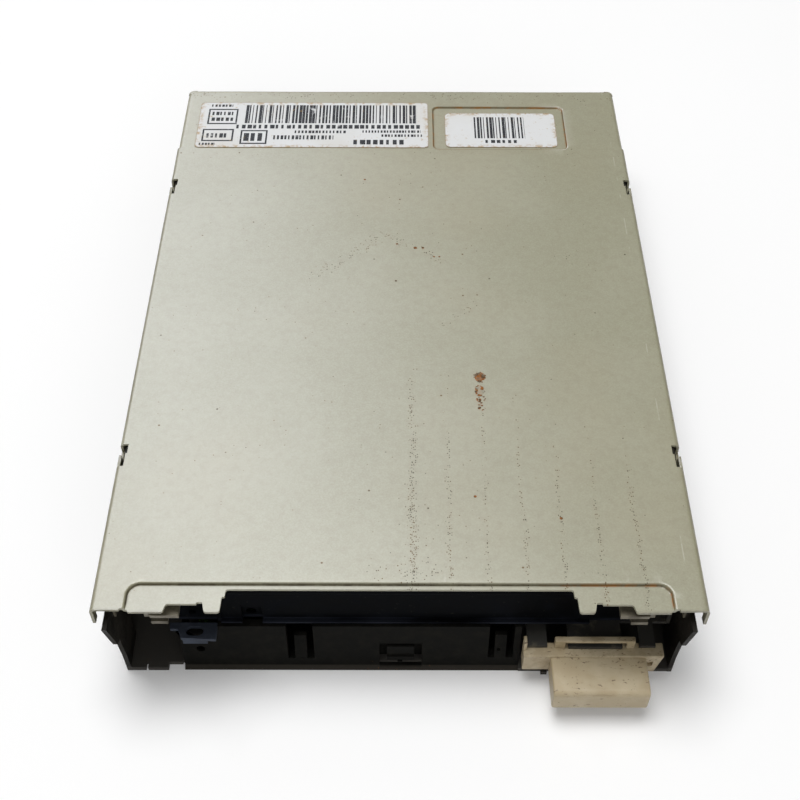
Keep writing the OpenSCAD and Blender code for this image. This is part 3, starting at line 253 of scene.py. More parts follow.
def break_edges(piece, width, turn, coat=-1):
    """Bevels the edges that turn more than an angle, in the finish of a coat where one is given."""
    broken = piece.modifiers.new("broken_edges", "BEVEL")
    broken.width = width * MM
    broken.segments = 2
    broken.limit_method = "ANGLE"
    broken.angle_limit = math.radians(turn)
    broken.material = coat
    bpy.ops.object.modifier_apply(modifier="broken_edges")


def smooth(piece):
    """Smooth shading over rounded edges that leaves the broad faces flat."""
    bpy.ops.object.shade_smooth_by_angle(angle=math.radians(SMOOTH_TURN))
    even = piece.modifiers.new("even", "WEIGHTED_NORMAL")
    even.keep_sharp = True
    bpy.ops.object.modifier_apply(modifier="even")


def seat(piece, node):
    """Puts a piece on the body of a solid of the frame, in its stead."""
    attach(piece, solids[node]["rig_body"])
    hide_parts(node)


def refine(node, name, edge, *coats):
    """A copy of a solid of the frame with its sharp edges broken; a second coat shows on the edges."""
    bpy.ops.object.select_all(action="DESELECT")
    solids[node].select_set(True)
    bpy.context.view_layer.objects.active = solids[node]
    bpy.ops.object.duplicate()
    piece = bpy.context.object
    piece.name = piece.data.name = name
    del piece["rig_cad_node"]
    bpy.ops.object.mode_set(mode="EDIT")
    bpy.ops.mesh.select_all(action="SELECT")
    bpy.ops.mesh.remove_doubles(threshold=MERGE * MM)
    bpy.ops.mesh.dissolve_limited(angle_limit=math.radians(FLAT_TURN))
    bpy.ops.object.mode_set(mode="OBJECT")
    piece.data.materials.clear()
    for coat in coats:
        piece.data.materials.append(coat)
    break_edges(piece, edge, SHARP_TURN, len(coats) - 1)
    smooth(piece)
    seat(piece, node)
    return piece


tray_dark, mm = begin("tray_dark")
z = axis(mm, "Z")
scuff = ease(cloud(mm, 3.0, 6.0, 0.65), 0.56, 0.74)
grime = ease(cloud(mm, 9.0, 4.0), 0.4, 0.65)
ground = tint(grime, tone("1e1c19"), tone("2b2823"))
# The floor of the tray, up to about 1.5 mm, is painted lighter: partly dust, partly painted light that
# reaches in under the lid.
ground = tint(ease(z, 1.6, 1.1) * ease(z, -0.05, 0.05), ground, tone("45433f"))
dress(tray_dark, {
    "Base Color": tint(scuff * 0.4, ground, tone("4a443a")),
    "Roughness": 0.5 + 0.25 * grime,
    "Specular IOR Level": 0.1,
    "Normal": relief(cloud(mm, 0.5, 2.0), 0.02),
})
tray_edge, mm = begin("tray_edge")
rubbed = ease(cloud(mm, 5.0, 5.0, 0.6), 0.42, 0.6)
dress(tray_edge, {
    "Base Color": tint(rubbed, tone("262420"), tone("6d695f")),
    "Metallic": 0.5 * rubbed,
    "Roughness": 0.38,
})
refine("chassis_frame", "tray", 0.12, tray_dark, tray_edge)


# The motor board and the main board: a steel-cored board under the spindle and a glass-fibre board
# at the rear, both masked green over fine copper runs and held on posts of the tray by screws.
def metal(name, colour, dull, rough=0.32, streak=(1.0, 1.0, 1.0), lump=4.0):
    """Bare or plated metal with duller, rougher patches."""
    coat, mm = begin(name)
    patch = ease(cloud(mm, lump, 6.0, 0.6, streak), 0.42, 0.7)
    return dress(coat, {
        "Base Color": tint(patch, tone(colour), tone(dull)),
        "Metallic": 1.0 - 0.15 * patch,
        "Roughness": rough + 0.12 * patch,
        "Normal": relief(cloud(mm, 0.35, 2.0, 0.5, streak), 0.01),
    })


def copper_lines(place):
    """Even lines along one axis, 1.25 mm apart."""
    return place.add("Math", {0: place * 0.8, 1: 1.0}, operation="FLOORED_MODULO") < 0.42


board_green, mm = begin("board_green")
patch = mm.add("TexVoronoi", {"Vector": mm, "Scale": 0.11}, out=1, distance="MANHATTAN")
pick = mm.add("SeparateColor", {0: patch}, out=0)
runs = (pick > 0.55) * copper_lines(axis(mm, "X")) + (pick < 0.3) * copper_lines(axis(mm, "Y"))
dress(board_green, {
    "Base Color": tint(runs, tone("1d4426"), tone("2f6336")),
    "Roughness": 0.34,
    "Coat Weight": 0.3,
    "Normal": relief(runs, 0.03),
})
refine("motor_board", "motor_panel", 0.06, board_green)
refine("main_board", "logic_panel", 0.06, board_green)
steel = metal("bright_steel", "c9c8c4", "8f8c84", 0.25)
refine("board_screws", "board_screw_set", 0.08, steel)
refine("motor_screws", "motor_screw_set", 0.08, steel)


# Parts soldered to the boards: moulded chips, sleeved capacitors, small chip parts, sensing
# switches with sprung plungers, the track sensor, the lamp and the socket of the flat cable.
def moulding(name, colour, dusty, rough=0.45, grain=0.02, shine=0.4):
    """Moulded plastic: a fine grain, with thin dust in cloudy patches."""
    coat, mm = begin(name)
    dust = ease(cloud(mm, 6.0, 6.0, 0.62), 0.45, 0.75)
    return dress(coat, {
        "Base Color": tint(dust, tone(colour), tone(dusty)),
        "Roughness": rough + 0.3 * dust,
        "Specular IOR Level": shine,
        "Normal": relief(cloud(mm, 0.3, 2.0), grain),
    })


chip_black = moulding("chip_black", "222223", "4a4846", 0.5)
refine("controller_chip", "controller", 0.12, chip_black)
refine("driver_chips", "drivers", 0.08, chip_black)
refine("switch_bodies", "switch_cases", 0.1, chip_black)
refine("track_sensor", "track_gate", 0.1, chip_black)
sleeve = moulding("capacitor_sleeve", "1c2740", "3c4454", 0.25)
can_top = metal("can_top", "c4c3bf", "9a9892", 0.3)
refine("capacitors", "capacitor_set", 0.25, sleeve, can_top)
refine("chip_parts", "small_parts", 0.05, moulding("chip_brown", "5d4b36", "7d6f5c", 0.5))
ivory = moulding("ivory_moulding", "d3c9ab", "b3a684", 0.4)
refine("flex_socket", "cable_socket", 0.08, ivory)
refine("protect_plunger", "protect_button", 0.15, ivory)
refine("density_plunger", "density_button", 0.15, ivory)
refine("disk_plunger", "sensing_button", 0.15, ivory)
refine("activity_lamp", "busy_lamp", 0.2, moulding("lamp_green", "6f9a3c", "5c7a38", 0.15))


# The rear connectors: a shrouded two-row signal header with gilt pins and a four-way power header
# with tinned pins. Both are soldered to the main board and reach through the rear of the tray.
refine("signal_header", "signal_shroud", 0.15, moulding("header_black", "242423", "3b3935", 0.48))
refine("signal_pins", "signal_pin_set", 0.08, metal("gilt_pin", "d2ad52", "a08446", 0.25))
refine("power_header", "power_shroud", 0.18, ivory)
refine("power_pins", "power_pin_set", 0.1, metal("tinned_pin", "cfcdc6", "98958c", 0.3))


# The spindle motor: wound laminated core round a bronze bearing, and a plated rotor cup with a
# ferrite ring that carries the chuck and its sprung drive pin on a ground shaft.
refine("stator_core", "wound_core", 0.06, metal("lamination", "7d7a74", "5a5650", 0.45))
refine("stator_coils", "windings", 0.2, metal("copper_wire", "b5652e", "8c4d25", 0.35))
refine("spindle_bearing", "bearing", 0.15, metal("bronze", "b49a5c", "8a7546", 0.35))
refine("spindle_shaft", "shaft", 0.1, steel)
plated = metal("plated_steel", "b9b8b2", "a3a097", 0.3)
refine("rotor_cup", "rotor", 0.3, plated)
refine("rotor_magnet", "ring_magnet", 0.15, moulding("ferrite", "2e2b29", "46423d", 0.6))
refine("disk_chuck", "chuck", 0.25, plated)
refine("drive_pin", "chuck_pin", 0.1, steel)


def stretch(piece):
    """Takes the piece off its body and bakes its place into its mesh."""
    bpy.ops.object.parent_clear(type="CLEAR_KEEP_TRANSFORM")
    del piece["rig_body"]
    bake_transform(piece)


refine("stepper_motor", "stepper_can", 0.3, plated)
zinc = metal("zinc_sheet", "c3b995", "b3a885", 0.34, (1.0, 0.5, 1.0), 14.0)
refine("stepper_bracket", "stepper_plate", 0.08, zinc)
refine("lead_screw", "screw_spindle", 0.05, steel)
refine("guide_rods", "rods", 0.15, steel)
refine("rod_blocks", "rod_seats", 0.2, metal("casting", "b9b7b0", "8f8d86", 0.45))
grey = moulding("grey_moulding", "4b4b4e", "5a5957", 0.5)
refine("head_carriage", "carriage", 0.2, grey)
refine("follower_pin", "screw_follower", 0.08, steel)
ceramic = moulding("head_ceramic", "6a6156", "7d7366", 0.25, 0.005)
refine("lower_head", "head_below", 0.15, ceramic)
refine("arm_pin", "arm_pivot", 0.1, steel)
refine("upper_arm", "head_arm", 0.2, grey)
refine("upper_head", "head_above", 0.15, ceramic)
refine("arm_spring", "arm_coil", 0.03, steel)
cable = refine("head_flex", "film_cable", 0.02, moulding("amber_film", "a5671f", "8c5a22", 0.22, 0.005))
stretch(cable)


# The disk holder and the slide over it: zinc plated pressings. Pins on the holder ride in sloping
# cam slots of the slide, two coil springs pull the slide back, and a lever senses the disk.
refine("disk_holder", "holder", 0.1, zinc)
refine("holder_pins", "cam_pins", 0.12, steel)
refine("slide_plate", "slide", 0.08, zinc)
coils = refine("slide_springs", "slide_coils", 0.03, steel)
stretch(coils)
refine("trigger_lever", "trigger", 0.1, zinc)
refine("trigger_rivet", "trigger_pivot", 0.15, steel)
refine("trigger_spring", "trigger_coil", 0.03, steel)


# The button strap: a blackened steel pressing riveted to the slide, which reaches round to the
# front and carries the button on a tongue between two prongs.
strap_black, mm = begin("strap_black")
rub = ease(cloud(mm, 2.5, 6.0, 0.65), 0.5, 0.7)
dress(strap_black, {
    "Base Color": tint(rub, tone("3a3936"), tone("585449")),
    "Roughness": 0.4 + 0.2 * rub,
    "Specular IOR Level": 0.2,
})
strap_edge, mm = begin("strap_edge")
dress(strap_edge, {
    "Base Color": tint(ease(cloud(mm, 3.0, 5.0), 0.4, 0.6), tone("1a1918"), tone("46423b")),
    "Metallic": 0.6,
    "Roughness": 0.4,
})
refine("button_bracket", "button_strap", 0.08, strap_black, strap_edge)
refine("bracket_rivets", "strap_rivets", 0.15, steel)


# The eject button: a beige moulding with a long nose on a cross bar, clipped over the tongue of the
# strap through a slot in its bridge. Finger dirt lies in lines along it, and it is darker in patches
# behind the front of its bar.
def corners(node):
    """The lowest and the highest corner of a solid of the frame, in millimetres."""
    return [[round(c / MM, 3) for c in corner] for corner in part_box(node)]


(BUTTON_LEFT, NOSE_TIP, BUTTON_FOOT), (BUTTON_RIGHT, BUTTON_BACK, BRIDGE_TOP) = corners("eject_button")
BAR_FRONT, BAR_TOP, END_TAPER = -70.05, 8.65, 1.05
LOW_SIDE_END, LOW_SIDE_FOOT, SPARE = 33.65, 4.0, 0.8
NOSE_LEFT, NOSE_RIGHT, NOSE_ROOT, NOSE_TOP, NOSE_ROUND = 26.35, 43.05, -69.0, 8.3, 1.1
BRIDGE = ((27.05, -68.4, 8.0), (41.05, -67.35, BRIDGE_TOP))
CHEEK = ((BUTTON_LEFT, -68.8, 7.0), (22.2, -67.3, BRIDGE_TOP))
TONGUE_SLOT = ((28.85, -69.2, 8.66), (39.6, -66.5, 10.4))
END_NOTCH = ((43.3, -70.5, 5.3), (44.4, -69.45, 6.9))


def block(name, low, high):
    """A cube stretched between two corners, given in millimetres."""
    bpy.ops.object.select_all(action="DESELECT")
    low, high = Vector(low) * MM, Vector(high) * MM
    bpy.ops.mesh.primitive_cube_add(size=1.0, location=(low + high) / 2, scale=high - low)
    bpy.ops.object.transform_apply(location=True, rotation=True, scale=True)
    piece = bpy.context.object
    piece.name = piece.data.name = name
    return piece


def choose(piece, kind, test):
    """Selects, in edit mode, the vertices or edges whose middle, in millimetres, passes a test."""
    bpy.context.view_layer.objects.active = piece
    bpy.ops.object.mode_set(mode="EDIT")
    bpy.ops.mesh.select_mode(type=kind)
    bpy.ops.mesh.select_all(action="DESELECT")
    bpy.ops.object.mode_set(mode="OBJECT")
    points = piece.data.vertices
    if kind == "VERT":
        for point in points:
            point.select = bool(test(point.co / MM))
    else:
        for edge in piece.data.edges:
            first, last = edge.vertices
            edge.select = bool(test((points[first].co + points[last].co) / (2 * MM)))
    bpy.ops.object.mode_set(mode="EDIT")


def round_edges(piece, radius, steps, test):
    """Rounds the edges whose middle passes a test."""
    choose(piece, "EDGE", test)
    bpy.ops.mesh.bevel(offset=radius * MM, segments=steps)
    bpy.ops.object.mode_set(mode="OBJECT")


def combine(piece, tool, operation):
    """Joins a tool to a piece, or cuts it away, and clears the tool."""
    bpy.ops.object.select_all(action="DESELECT")
    bpy.context.view_layer.objects.active = piece
    piece.select_set(True)
    step = piece.modifiers.new("step", "BOOLEAN")
    step.operation = operation
    step.solver = "MANIFOLD"
    step.object = tool
    bpy.ops.object.modifier_apply(modifier="step")
    bpy.data.objects.remove(tool)


button = block("button", (BUTTON_LEFT, BAR_FRONT, BUTTON_FOOT), (BUTTON_RIGHT, BUTTON_BACK, BAR_TOP))
choose(button, "VERT", lambda v: v.x > BUTTON_RIGHT - 0.1 and v.z < BAR_TOP - 1.0)
bpy.ops.transform.translate(value=(-END_TAPER * MM, 0.0, 0.0))
round_edges(button, 0.22, 3, lambda v: True)
low_side = block("low_side", (BUTTON_LEFT - SPARE, BAR_FRONT - SPARE, BUTTON_FOOT - SPARE),
                 (LOW_SIDE_END, BUTTON_BACK + SPARE, LOW_SIDE_FOOT))
combine(button, low_side, "DIFFERENCE")
nose = block("nose", (NOSE_LEFT, NOSE_TIP, BUTTON_FOOT), (NOSE_RIGHT, NOSE_ROOT, NOSE_TOP))
round_edges(nose, NOSE_ROUND, 5, lambda v: v.y < NOSE_TIP + 1.0 and v.z > NOSE_TOP - 1.0)
round_edges(nose, 0.4, 3, lambda v: not NOSE_LEFT + 0.85 < v.x < NOSE_RIGHT - 0.85
            or (v.y < NOSE_TIP + 0.1 and v.z < BUTTON_FOOT + 0.3))
bridge = block("bridge", *BRIDGE)
round_edges(bridge, 0.2, 2, lambda v: v.z > BRIDGE[0][2] + 0.5)
cheek = block("cheek", *CHEEK)
round_edges(cheek, 0.08, 2, lambda v: v.z > CHEEK[0][2] + 1.8)
for part in (nose, bridge, cheek):
    combine(button, part, "UNION")
combine(button, block("tongue_slot", *TONGUE_SLOT), "DIFFERENCE")
combine(button, block("end_notch", *END_NOTCH), "DIFFERENCE")
smooth(button)

beige, mm = begin("beige_moulding")
haze = cloud(mm, 5.0, 4.0)
dirt = ease(cloud(mm, 2.0, 8.0, 0.7, (0.3, 1.7, 1.7)), 0.58, 0.7)
crumb = ease(cloud(mm, 0.45, 3.0, 0.6, (0.55, 1.0, 1.0)), 0.61, 0.68) * ease(cloud(mm, 4.0, 3.0), 0.4, 0.58)
# Darker in patches towards the back, behind the front of the bar.
darker_behind = ease(axis(mm, "Y"), -70.6, -70.0) * ease(cloud(mm, 1.5, 5.0), 0.45, 0.6)
skin = tint(ease(haze, 0.35, 0.65), tone("ab9b7c"), tone("b6a88b"))
skin = tint((dirt * 0.35) | (darker_behind * 0.25), skin, tone("7a6a4e"))
dress(beige, {
    "Base Color": tint(crumb * 0.8, skin, tone("57432a")),
    "Roughness": 0.45 + 0.2 * dirt,
    "Normal": relief(cloud(mm, 0.4, 3.0), 0.03),
})
button.data.materials.clear()
button.data.materials.append(beige)
seat(button, "eject_button")


# The dust flap: a smooth blue-black moulded door hung on a steel pin in two zinc plated leaves of
# the tray front, with a painted highlight on the lip along its foot and a fine coil spring to shut it.
flap_black, mm = begin("flap_black")
film = ease(cloud(mm, 5.0, 7.0, 0.65), 0.42, 0.75)
specks = ease(cloud(mm, 0.6, 2.0), 0.68, 0.74)
# A painted highlight along the lip at the foot of the flap, in patches.
lip_highlight = ease(axis(mm, "Z"), 13.4, 13.1) * ease(cloud(mm, 6.0, 4.0, 0.5, (0.4, 1.0, 1.0)), 0.3, 0.7)
skin = tint(film, tone("07080a"), tone("101216"))
skin = tint(lip_highlight, skin, tone("252830"))
dress(flap_black, {
    "Base Color": tint(specks * 0.3, skin, tone("37362f")),
    "Roughness": 0.35 + 0.3 * film,
    "Specular IOR Level": 0.01,
})
refine("dust_flap", "flap", 0.2, flap_black)
leaf, mm = begin("leaf_beige")
stain = ease(cloud(mm, 3.0, 5.0), 0.45, 0.68)
dress(leaf, {
    "Base Color": tint(stain, tone("716b5c"), tone("544e41")),
    "Metallic": 0.2,
    "Roughness": 0.4 + 0.2 * stain,
})
refine("flap_brackets", "flap_leaves", 0.1, leaf)
refine("flap_pin", "flap_hinge", 0.12, steel)
refine("flap_spring", "flap_coil", 0.03, steel)


# The front guide wall and the boss plate: black mouldings clipped to the tray floor under the disk
# mouth. Rusty crumbs from the lid lie in the window, and dust greys the face.
guide_black, mm = begin("guide_black")
z = axis(mm, "Z")
mottle = ease(cloud(mm, 2.2, 7.0, 0.68), 0.4, 0.7)
crumbs = ease(cloud(mm, 0.7, 4.0, 0.6), 0.62, 0.7) * ease(z, 2.5, 0.6) * ease(abs(axis(mm, "X")), 8.0, 4.0)
# A painted highlight on the chamfer of the foot, along the front of the wall.
foot_highlight = ease(z, 0.9, 0.7) * ease(axis(mm, "Y"), -67.4, -67.6)
skin = tint(mottle, tone("121210"), tone("1f1e1b"))
skin = tint(foot_highlight, skin, tone("33302b"))
dress(guide_black, {
    "Base Color": tint(crumbs * 0.6, skin, tone("6b4c2d")),
    "Roughness": 0.5 + 0.25 * mottle,
    "Specular IOR Level": 0.03,
    "Normal": relief(cloud(mm, 0.4, 3.0), 0.04),
})
refine("front_guide", "guide_wall", 0.18, guide_black)
refine("bezel_boss", "boss_plate", 0.2, moulding("boss_black", "393e48", "4a505b", 0.45, shine=0.05))


# The lid: one pressing of grey-olive coated steel sheet with bent side flanges, a stepped-down
# apron at the front, a sunk field for the small label and lugs that screw to the tray walls.
(_, LID_FRONT, LUG_FOOT), (LID_HALF, LID_REAR, LID_TOP) = corners("top_cover")
SHEET, BEND, CUT_EDGE, CUT_TURN = 0.5, 0.9, 0.12, 76.0
TOP_CLEAR, WAVE_HIGH = 0.03, 0.025
NECK_HALF, NECK_AT, NECK_RUN, NECK_ROOT, NECK_BLEND = 50.5, 49.3, 0.5, 48.0, 1.6
FLANGE_FOOT, HOOK_FOOT, HOOK_BACK = 22.2, 21.1, -69.4
REAR_FLANGE, SIDE_END, SPLIT = 48.6, 69.4, 0.02
CORNER_X, CORNER_Y, CORNER_R, CORNER_ROLL = 49.2, 69.7, 1.3, 0.6
SLOTS, SLOT_HALF, SLOT_IN, SLOT_DEEP = (-38.9, 35.6), 2.45, 49.5, 0.62
NOTCH_FROM, NOTCH_IN, NOTCH_DEEP = 0.45, 49.2, 2.2
LUG_HALF, LUG_HOLE, LUG_LEVELS = 2.3, 0.9, (20.0, 19.0)
APRON_HALF, APRON_BACK, APRON_CORNER = 44.95, -65.7, 2.1
APRON_RUN, APRON_DROP = (0.0, 0.12, 0.2, 0.32, 0.5), (0.56, 0.2, 0.11, 0.037, 0.0)
FIELD_LEFT, FIELD_RIGHT, FIELD_FRONT, FIELD_REAR = 7.5, 37.9, 48.8, 64.5
FIELD_CORNER, FIELD_RUN, FIELD_DROP = 1.3, 0.2, 0.35
MESH_STEP, FINE_STEP, FIELD_STEP, ARC_STEPS, FAR_HALF = 2.2, 0.16, 0.3, 5, 30.0

# The right half of the front outline: each corner's place and its radius.
FRONT_LINE = [(28.8, -66.45, 0.45), (28.9, -67.88, 0.2), (29.36, -67.92, 0.2), (29.5, -70.8, 0.5),
              (32.05, -70.8, 0.5), (32.46, -68.92, 0.25), (33.42, -68.92, 0.12), (33.46, -69.25, 0.12),
              (38.42, -69.25, 0.45), (38.85, -70.8, 0.5), (44.55, -70.8, 0.25), (44.65, -70.4, 0.15),
              (45.8, -70.4, 0.15), (45.9, -70.72, 0.12), (53.0, -70.72, 0.0), (53.0, -74.0, 0.0)]
TRIM_FOOT, TRIM_HIGH = 15.0, 14.0


def ruled(marks, step):
    """Grid lines through every mark, and even lines at most step apart between them."""
    marks = sorted(set(marks))
    lines = [marks[0]]
    for low, high in zip(marks, marks[1:]):
        count = max(1, math.ceil((high - low) / step))
        lines += [low + (high - low) * k / count for k in range(1, count + 1)]
    return lines


def around(*places):
    """Close marks either side of a pressed edge."""
    return [place + shift for place in places for shift in (-0.3, -0.1, -0.04, 0.04, 0.1, 0.3)]


def into_corner(place, step, first, last):
    """Close marks through the round corner that begins at a place."""
    return [place + step * k for k in range(first, last)]


def bent(reach):
    """Places and drops round a right-angled bend of the sheet whose outside is at reach."""
    turns = [math.radians(15.0 * k) for k in range(1, 7)]
    return [(reach - BEND * (1 - math.sin(a)), BEND * (1 - math.cos(a))) for a in turns]


def rounded_box(u, v, half_u, half_v, r):
    """Distance from a rounded rectangle, less than zero inside it."""
    du, dv = np.abs(u) - half_u + r, np.abs(v) - half_v + r
    return np.hypot(np.maximum(du, 0), np.maximum(dv, 0)) + np.minimum(np.maximum(du, dv), 0) - r


def soft_step(value):
    """0 to 1 over a run from 0 to 1, flat at both ends."""
    value = np.clip(value, 0.0, 1.0)
    return value * value * (3.0 - 2.0 * value)


def pressed(u, v):
    """How far the sheet is from the apron's edge and from the sunk field's edge."""
    apron = rounded_box(u, v - APRON_BACK + FAR_HALF, APRON_HALF, FAR_HALF, APRON_CORNER)
    field = rounded_box(u - (FIELD_LEFT + FIELD_RIGHT) / 2, v - (FIELD_FRONT + FIELD_REAR) / 2,
                        (FIELD_RIGHT - FIELD_LEFT) / 2, (FIELD_REAR - FIELD_FRONT) / 2, FIELD_CORNER)
    return apron, field


def sheet_top(u, v):
    """Height of the top of the sheet, with the apron, the sunk field and the faint waves of a pressing."""
    apron, field = pressed(u, v)
    wave = WAVE_HIGH * np.sin(u * 0.11 + 0.7) * np.cos(v * 0.09)
    wave = wave * soft_step((44.0 - np.abs(u)) / 8.0) * soft_step((apron - 1.0) / 5.0)
    drop = np.interp(apron, APRON_RUN, APRON_DROP) + FIELD_DROP * soft_step(0.5 - field / FIELD_RUN)
    return LID_TOP - TOP_CLEAR + wave - drop


# Grid lines across and along the flat sheet, each with the drop of the bends at its two ends.
joggle = (-0.3, -0.12, -0.05) + APRON_RUN
half_marks = [REAR_FLANGE, REAR_FLANGE + SPLIT, NOTCH_IN, SLOT_IN, LID_HALF - BEND]
half_marks += [APRON_HALF + shift for shift in joggle] + into_corner(APRON_HALF, -FINE_STEP, 3, 18)
marks = [0.0] + half_marks + [-mark for mark in half_marks] + around(FIELD_LEFT, FIELD_RIGHT)
marks += into_corner(FIELD_LEFT, FIELD_STEP, 2, 6) + into_corner(FIELD_RIGHT, -FIELD_STEP, 2, 6)
levels = [LID_TOP - NOTCH_DEEP, FLANGE_FOOT]
side = bent(LID_HALF) + [(LID_HALF, LID_TOP - h) for h in (*levels, HOOK_FOOT, *LUG_LEVELS, LUG_FOOT)]
columns = [(-u, d) for u, d in reversed(side)] + [(u, 0.0) for u in ruled(marks, MESH_STEP)] + side
half_run = NECK_RUN / 2
marks = [LID_FRONT, HOOK_BACK, NECK_AT - half_run, NECK_AT + half_run, SIDE_END, SIDE_END + SPLIT]
marks += around(FIELD_FRONT, FIELD_REAR) + [CORNER_Y, LID_REAR - BEND]
marks += [APRON_BACK + shift for shift in joggle] + into_corner(APRON_BACK, -FINE_STEP, 3, 18)
marks += into_corner(FIELD_FRONT, FIELD_STEP, 2, 6) + into_corner(FIELD_REAR, -FIELD_STEP, 2, 6)
for place in SLOTS:
    marks += [place + shift for shift in (-SLOT_HALF, -LUG_HALF, NOTCH_FROM, LUG_HALF, SLOT_HALF)]
rear = bent(LID_REAR) + [(LID_REAR, LID_TOP - h) for h in levels]
rows = [(v, 0.0) for v in ruled(marks, MESH_STEP)] + rear

# The points of the grid: narrowed behind the neck, bent down at the sides and the rear, and rolled
# over round the two rear corners, where the flanges end.
u0, side_drop = (np.array(c)[None, :] for c in zip(*columns))
v0, rear_drop = (np.array(c)[:, None] for c in zip(*rows))
u, v = (np.array(a) for a in np.broadcast_arrays(u0, v0))
necked = soft_step((v - NECK_AT + half_run) / NECK_RUN)
necked = necked * np.clip((np.abs(u) - NECK_ROOT) / NECK_BLEND, 0.0, 1.0)
u = u - np.sign(u) * (LID_HALF - NECK_HALF) * necked
past_side = v0 > SIDE_END + SPLIT / 2
past_flanges = ((np.abs(u0) > REAR_FLANGE + SPLIT / 2) | (side_drop > 0)) & past_side
run = np.clip((np.abs(u0) - (LID_HALF - BEND)) / BEND, 0.0, 1.0)
u = np.where(past_flanges & (run > 0), np.sign(u) * (NECK_HALF - BEND + BEND * run), u)
fall = np.where(past_flanges, 0.0, np.maximum(side_drop, rear_drop))
out_u, out_v = np.maximum(np.abs(u) - CORNER_X, 0.0), np.maximum(v - CORNER_Y, 0.0)
pull = np.maximum(out_u, out_v) / np.maximum(np.hypot(out_u, out_v), 1e-9)
turned = (out_u > 0) & (out_v > 0) & past_flanges
u = np.where(turned, np.sign(u) * (CORNER_X + out_u * pull), u)
v = np.where(turned, CORNER_Y + out_v * pull, v)
inset = -rounded_box(u, v - CORNER_Y + FAR_HALF, NECK_HALF, LID_REAR - CORNER_Y + FAR_HALF, CORNER_R)
outward = CORNER_ROLL - np.clip(inset, 0.0, CORNER_ROLL)
roll = CORNER_ROLL - np.sqrt(np.maximum(CORNER_ROLL ** 2 - outward ** 2, 0.0))
w = sheet_top(u, v) - np.where(past_flanges, roll, fall)

# The faces that are cut away: edge slots, the sides below the flanges but for hooks and lugs, and
# the corners between the flanges.
mid_u = np.abs(u0[:, 1:] + u0[:, :-1]) / 2
mid_v = (v0[1:] + v0[:-1]) / 2
mid_side = (side_drop[:, 1:] + side_drop[:, :-1]) / 2
mid_rear = (rear_drop[1:] + rear_drop[:-1]) / 2
flange = mid_u > LID_HALF - 0.001
gone = np.zeros((len(rows) - 1, len(columns) - 1), bool)
lug = np.zeros_like(mid_v, bool)
for place in SLOTS:
    off = mid_v - place
    lug |= np.abs(off) < LUG_HALF
    gone |= (np.abs(off) < SLOT_HALF) & (mid_u > SLOT_IN) & (mid_side < SLOT_DEEP)
    gone |= (off > NOTCH_FROM) & (off < SLOT_HALF) & (mid_u > NOTCH_IN) & (mid_side < NOTCH_DEEP)
hook = (mid_v < HOOK_BACK) & (mid_side < LID_TOP - HOOK_FOOT)
gone |= flange & (mid_side > LID_TOP - FLANGE_FOOT) & ~lug & ~hook
gone |= flange & (mid_v > SIDE_END)
gone |= (mid_side > 0) & (mid_v > SIDE_END) & (mid_v < SIDE_END + SPLIT)
gone |= (mid_u > REAR_FLANGE) & (mid_rear > BEND)
gone |= (mid_u > REAR_FLANGE) & (mid_u < REAR_FLANGE + SPLIT) & (mid_v > LID_REAR - BEND)

bpy.ops.object.select_all(action="DESELECT")
bpy.ops.mesh.primitive_grid_add(x_subdivisions=len(columns) - 1, y_subdivisions=len(rows) - 1, size=0.1)
lid = bpy.context.object
lid.name = lid.data.name = "lid"
lid.data.vertices.foreach_set("co", np.stack([u, v, w], -1).reshape(-1) * MM)
apron, field = pressed(u, v)
# Bands along the pressed edges, kept as attributes: rust along the apron's step and the field's rim, and a
# painted highlight along the field's outer lip.
for name, gap, middle, wide in (("apron_edge", apron, 0.02, 0.16), ("field_edge", field, -0.05, 0.2),
                                ("field_lip", field, 0.17, 0.09)):
    fade_mask = np.exp(-((gap - middle) / wide) ** 2)
    lid.data.attributes.new(name, "FLOAT", "POINT").data.foreach_set("value", fade_mask.reshape(-1))
bpy.ops.object.mode_set(mode="EDIT")
bpy.ops.mesh.select_mode(type="FACE")
bpy.ops.object.mode_set(mode="OBJECT")
lid.data.polygons.foreach_set("select", gone.reshape(-1))
bpy.ops.object.mode_set(mode="EDIT")
bpy.ops.mesh.delete(type="FACE")
bpy.ops.mesh.select_all(action="SELECT")
bpy.ops.mesh.normals_make_consistent(inside=False)
bpy.ops.object.mode_set(mode="OBJECT")


def thicken(piece, thickness):
    """Gives a sheet its thickness, downwards."""
    wall = piece.modifiers.new("wall", "SOLIDIFY")
    wall.thickness = thickness * MM
    wall.offset = -1.0
    bpy.ops.object.modifier_apply(modifier="wall")


thicken(lid, SHEET)
for place in SLOTS:
    for hand in (-1, 1):
        bpy.ops.object.select_all(action="DESELECT")
        bpy.ops.mesh.primitive_cylinder_add(
            vertices=28, radius=LUG_HOLE * MM, depth=4 * MM, rotation=(0.0, math.radians(90.0), 0.0),
            location=(hand * LID_HALF * MM, place * MM, LUG_LEVELS[0] * MM))
        combine(lid, bpy.context.object, "DIFFERENCE")
break_edges(lid, CUT_EDGE, CUT_TURN)


def filleted(outline):
    """The points of an outline whose corners, given with their radii, are rounded."""
    points = []
    for before, corner, after in zip(outline[-1:] + outline[:-1], outline, outline[1:] + outline[:1]):
        place, radius = Vector(corner[:2]), corner[2]
        back, ahead = (Vector(before[:2]) - place).normalized(), (Vector(after[:2]) - place).normalized()
        half = back.angle(ahead) / 2
        if not radius or half > 1.55:
            points.append(place)
            continue
        centre = place + (back + ahead).normalized() * (radius / math.sin(half))
        first = place + back * (radius / math.tan(half)) - centre
        last = place + ahead * (radius / math.tan(half)) - centre
        points += [centre + first.slerp(last, k / ARC_STEPS) * radius for k in range(ARC_STEPS + 1)]
    return points


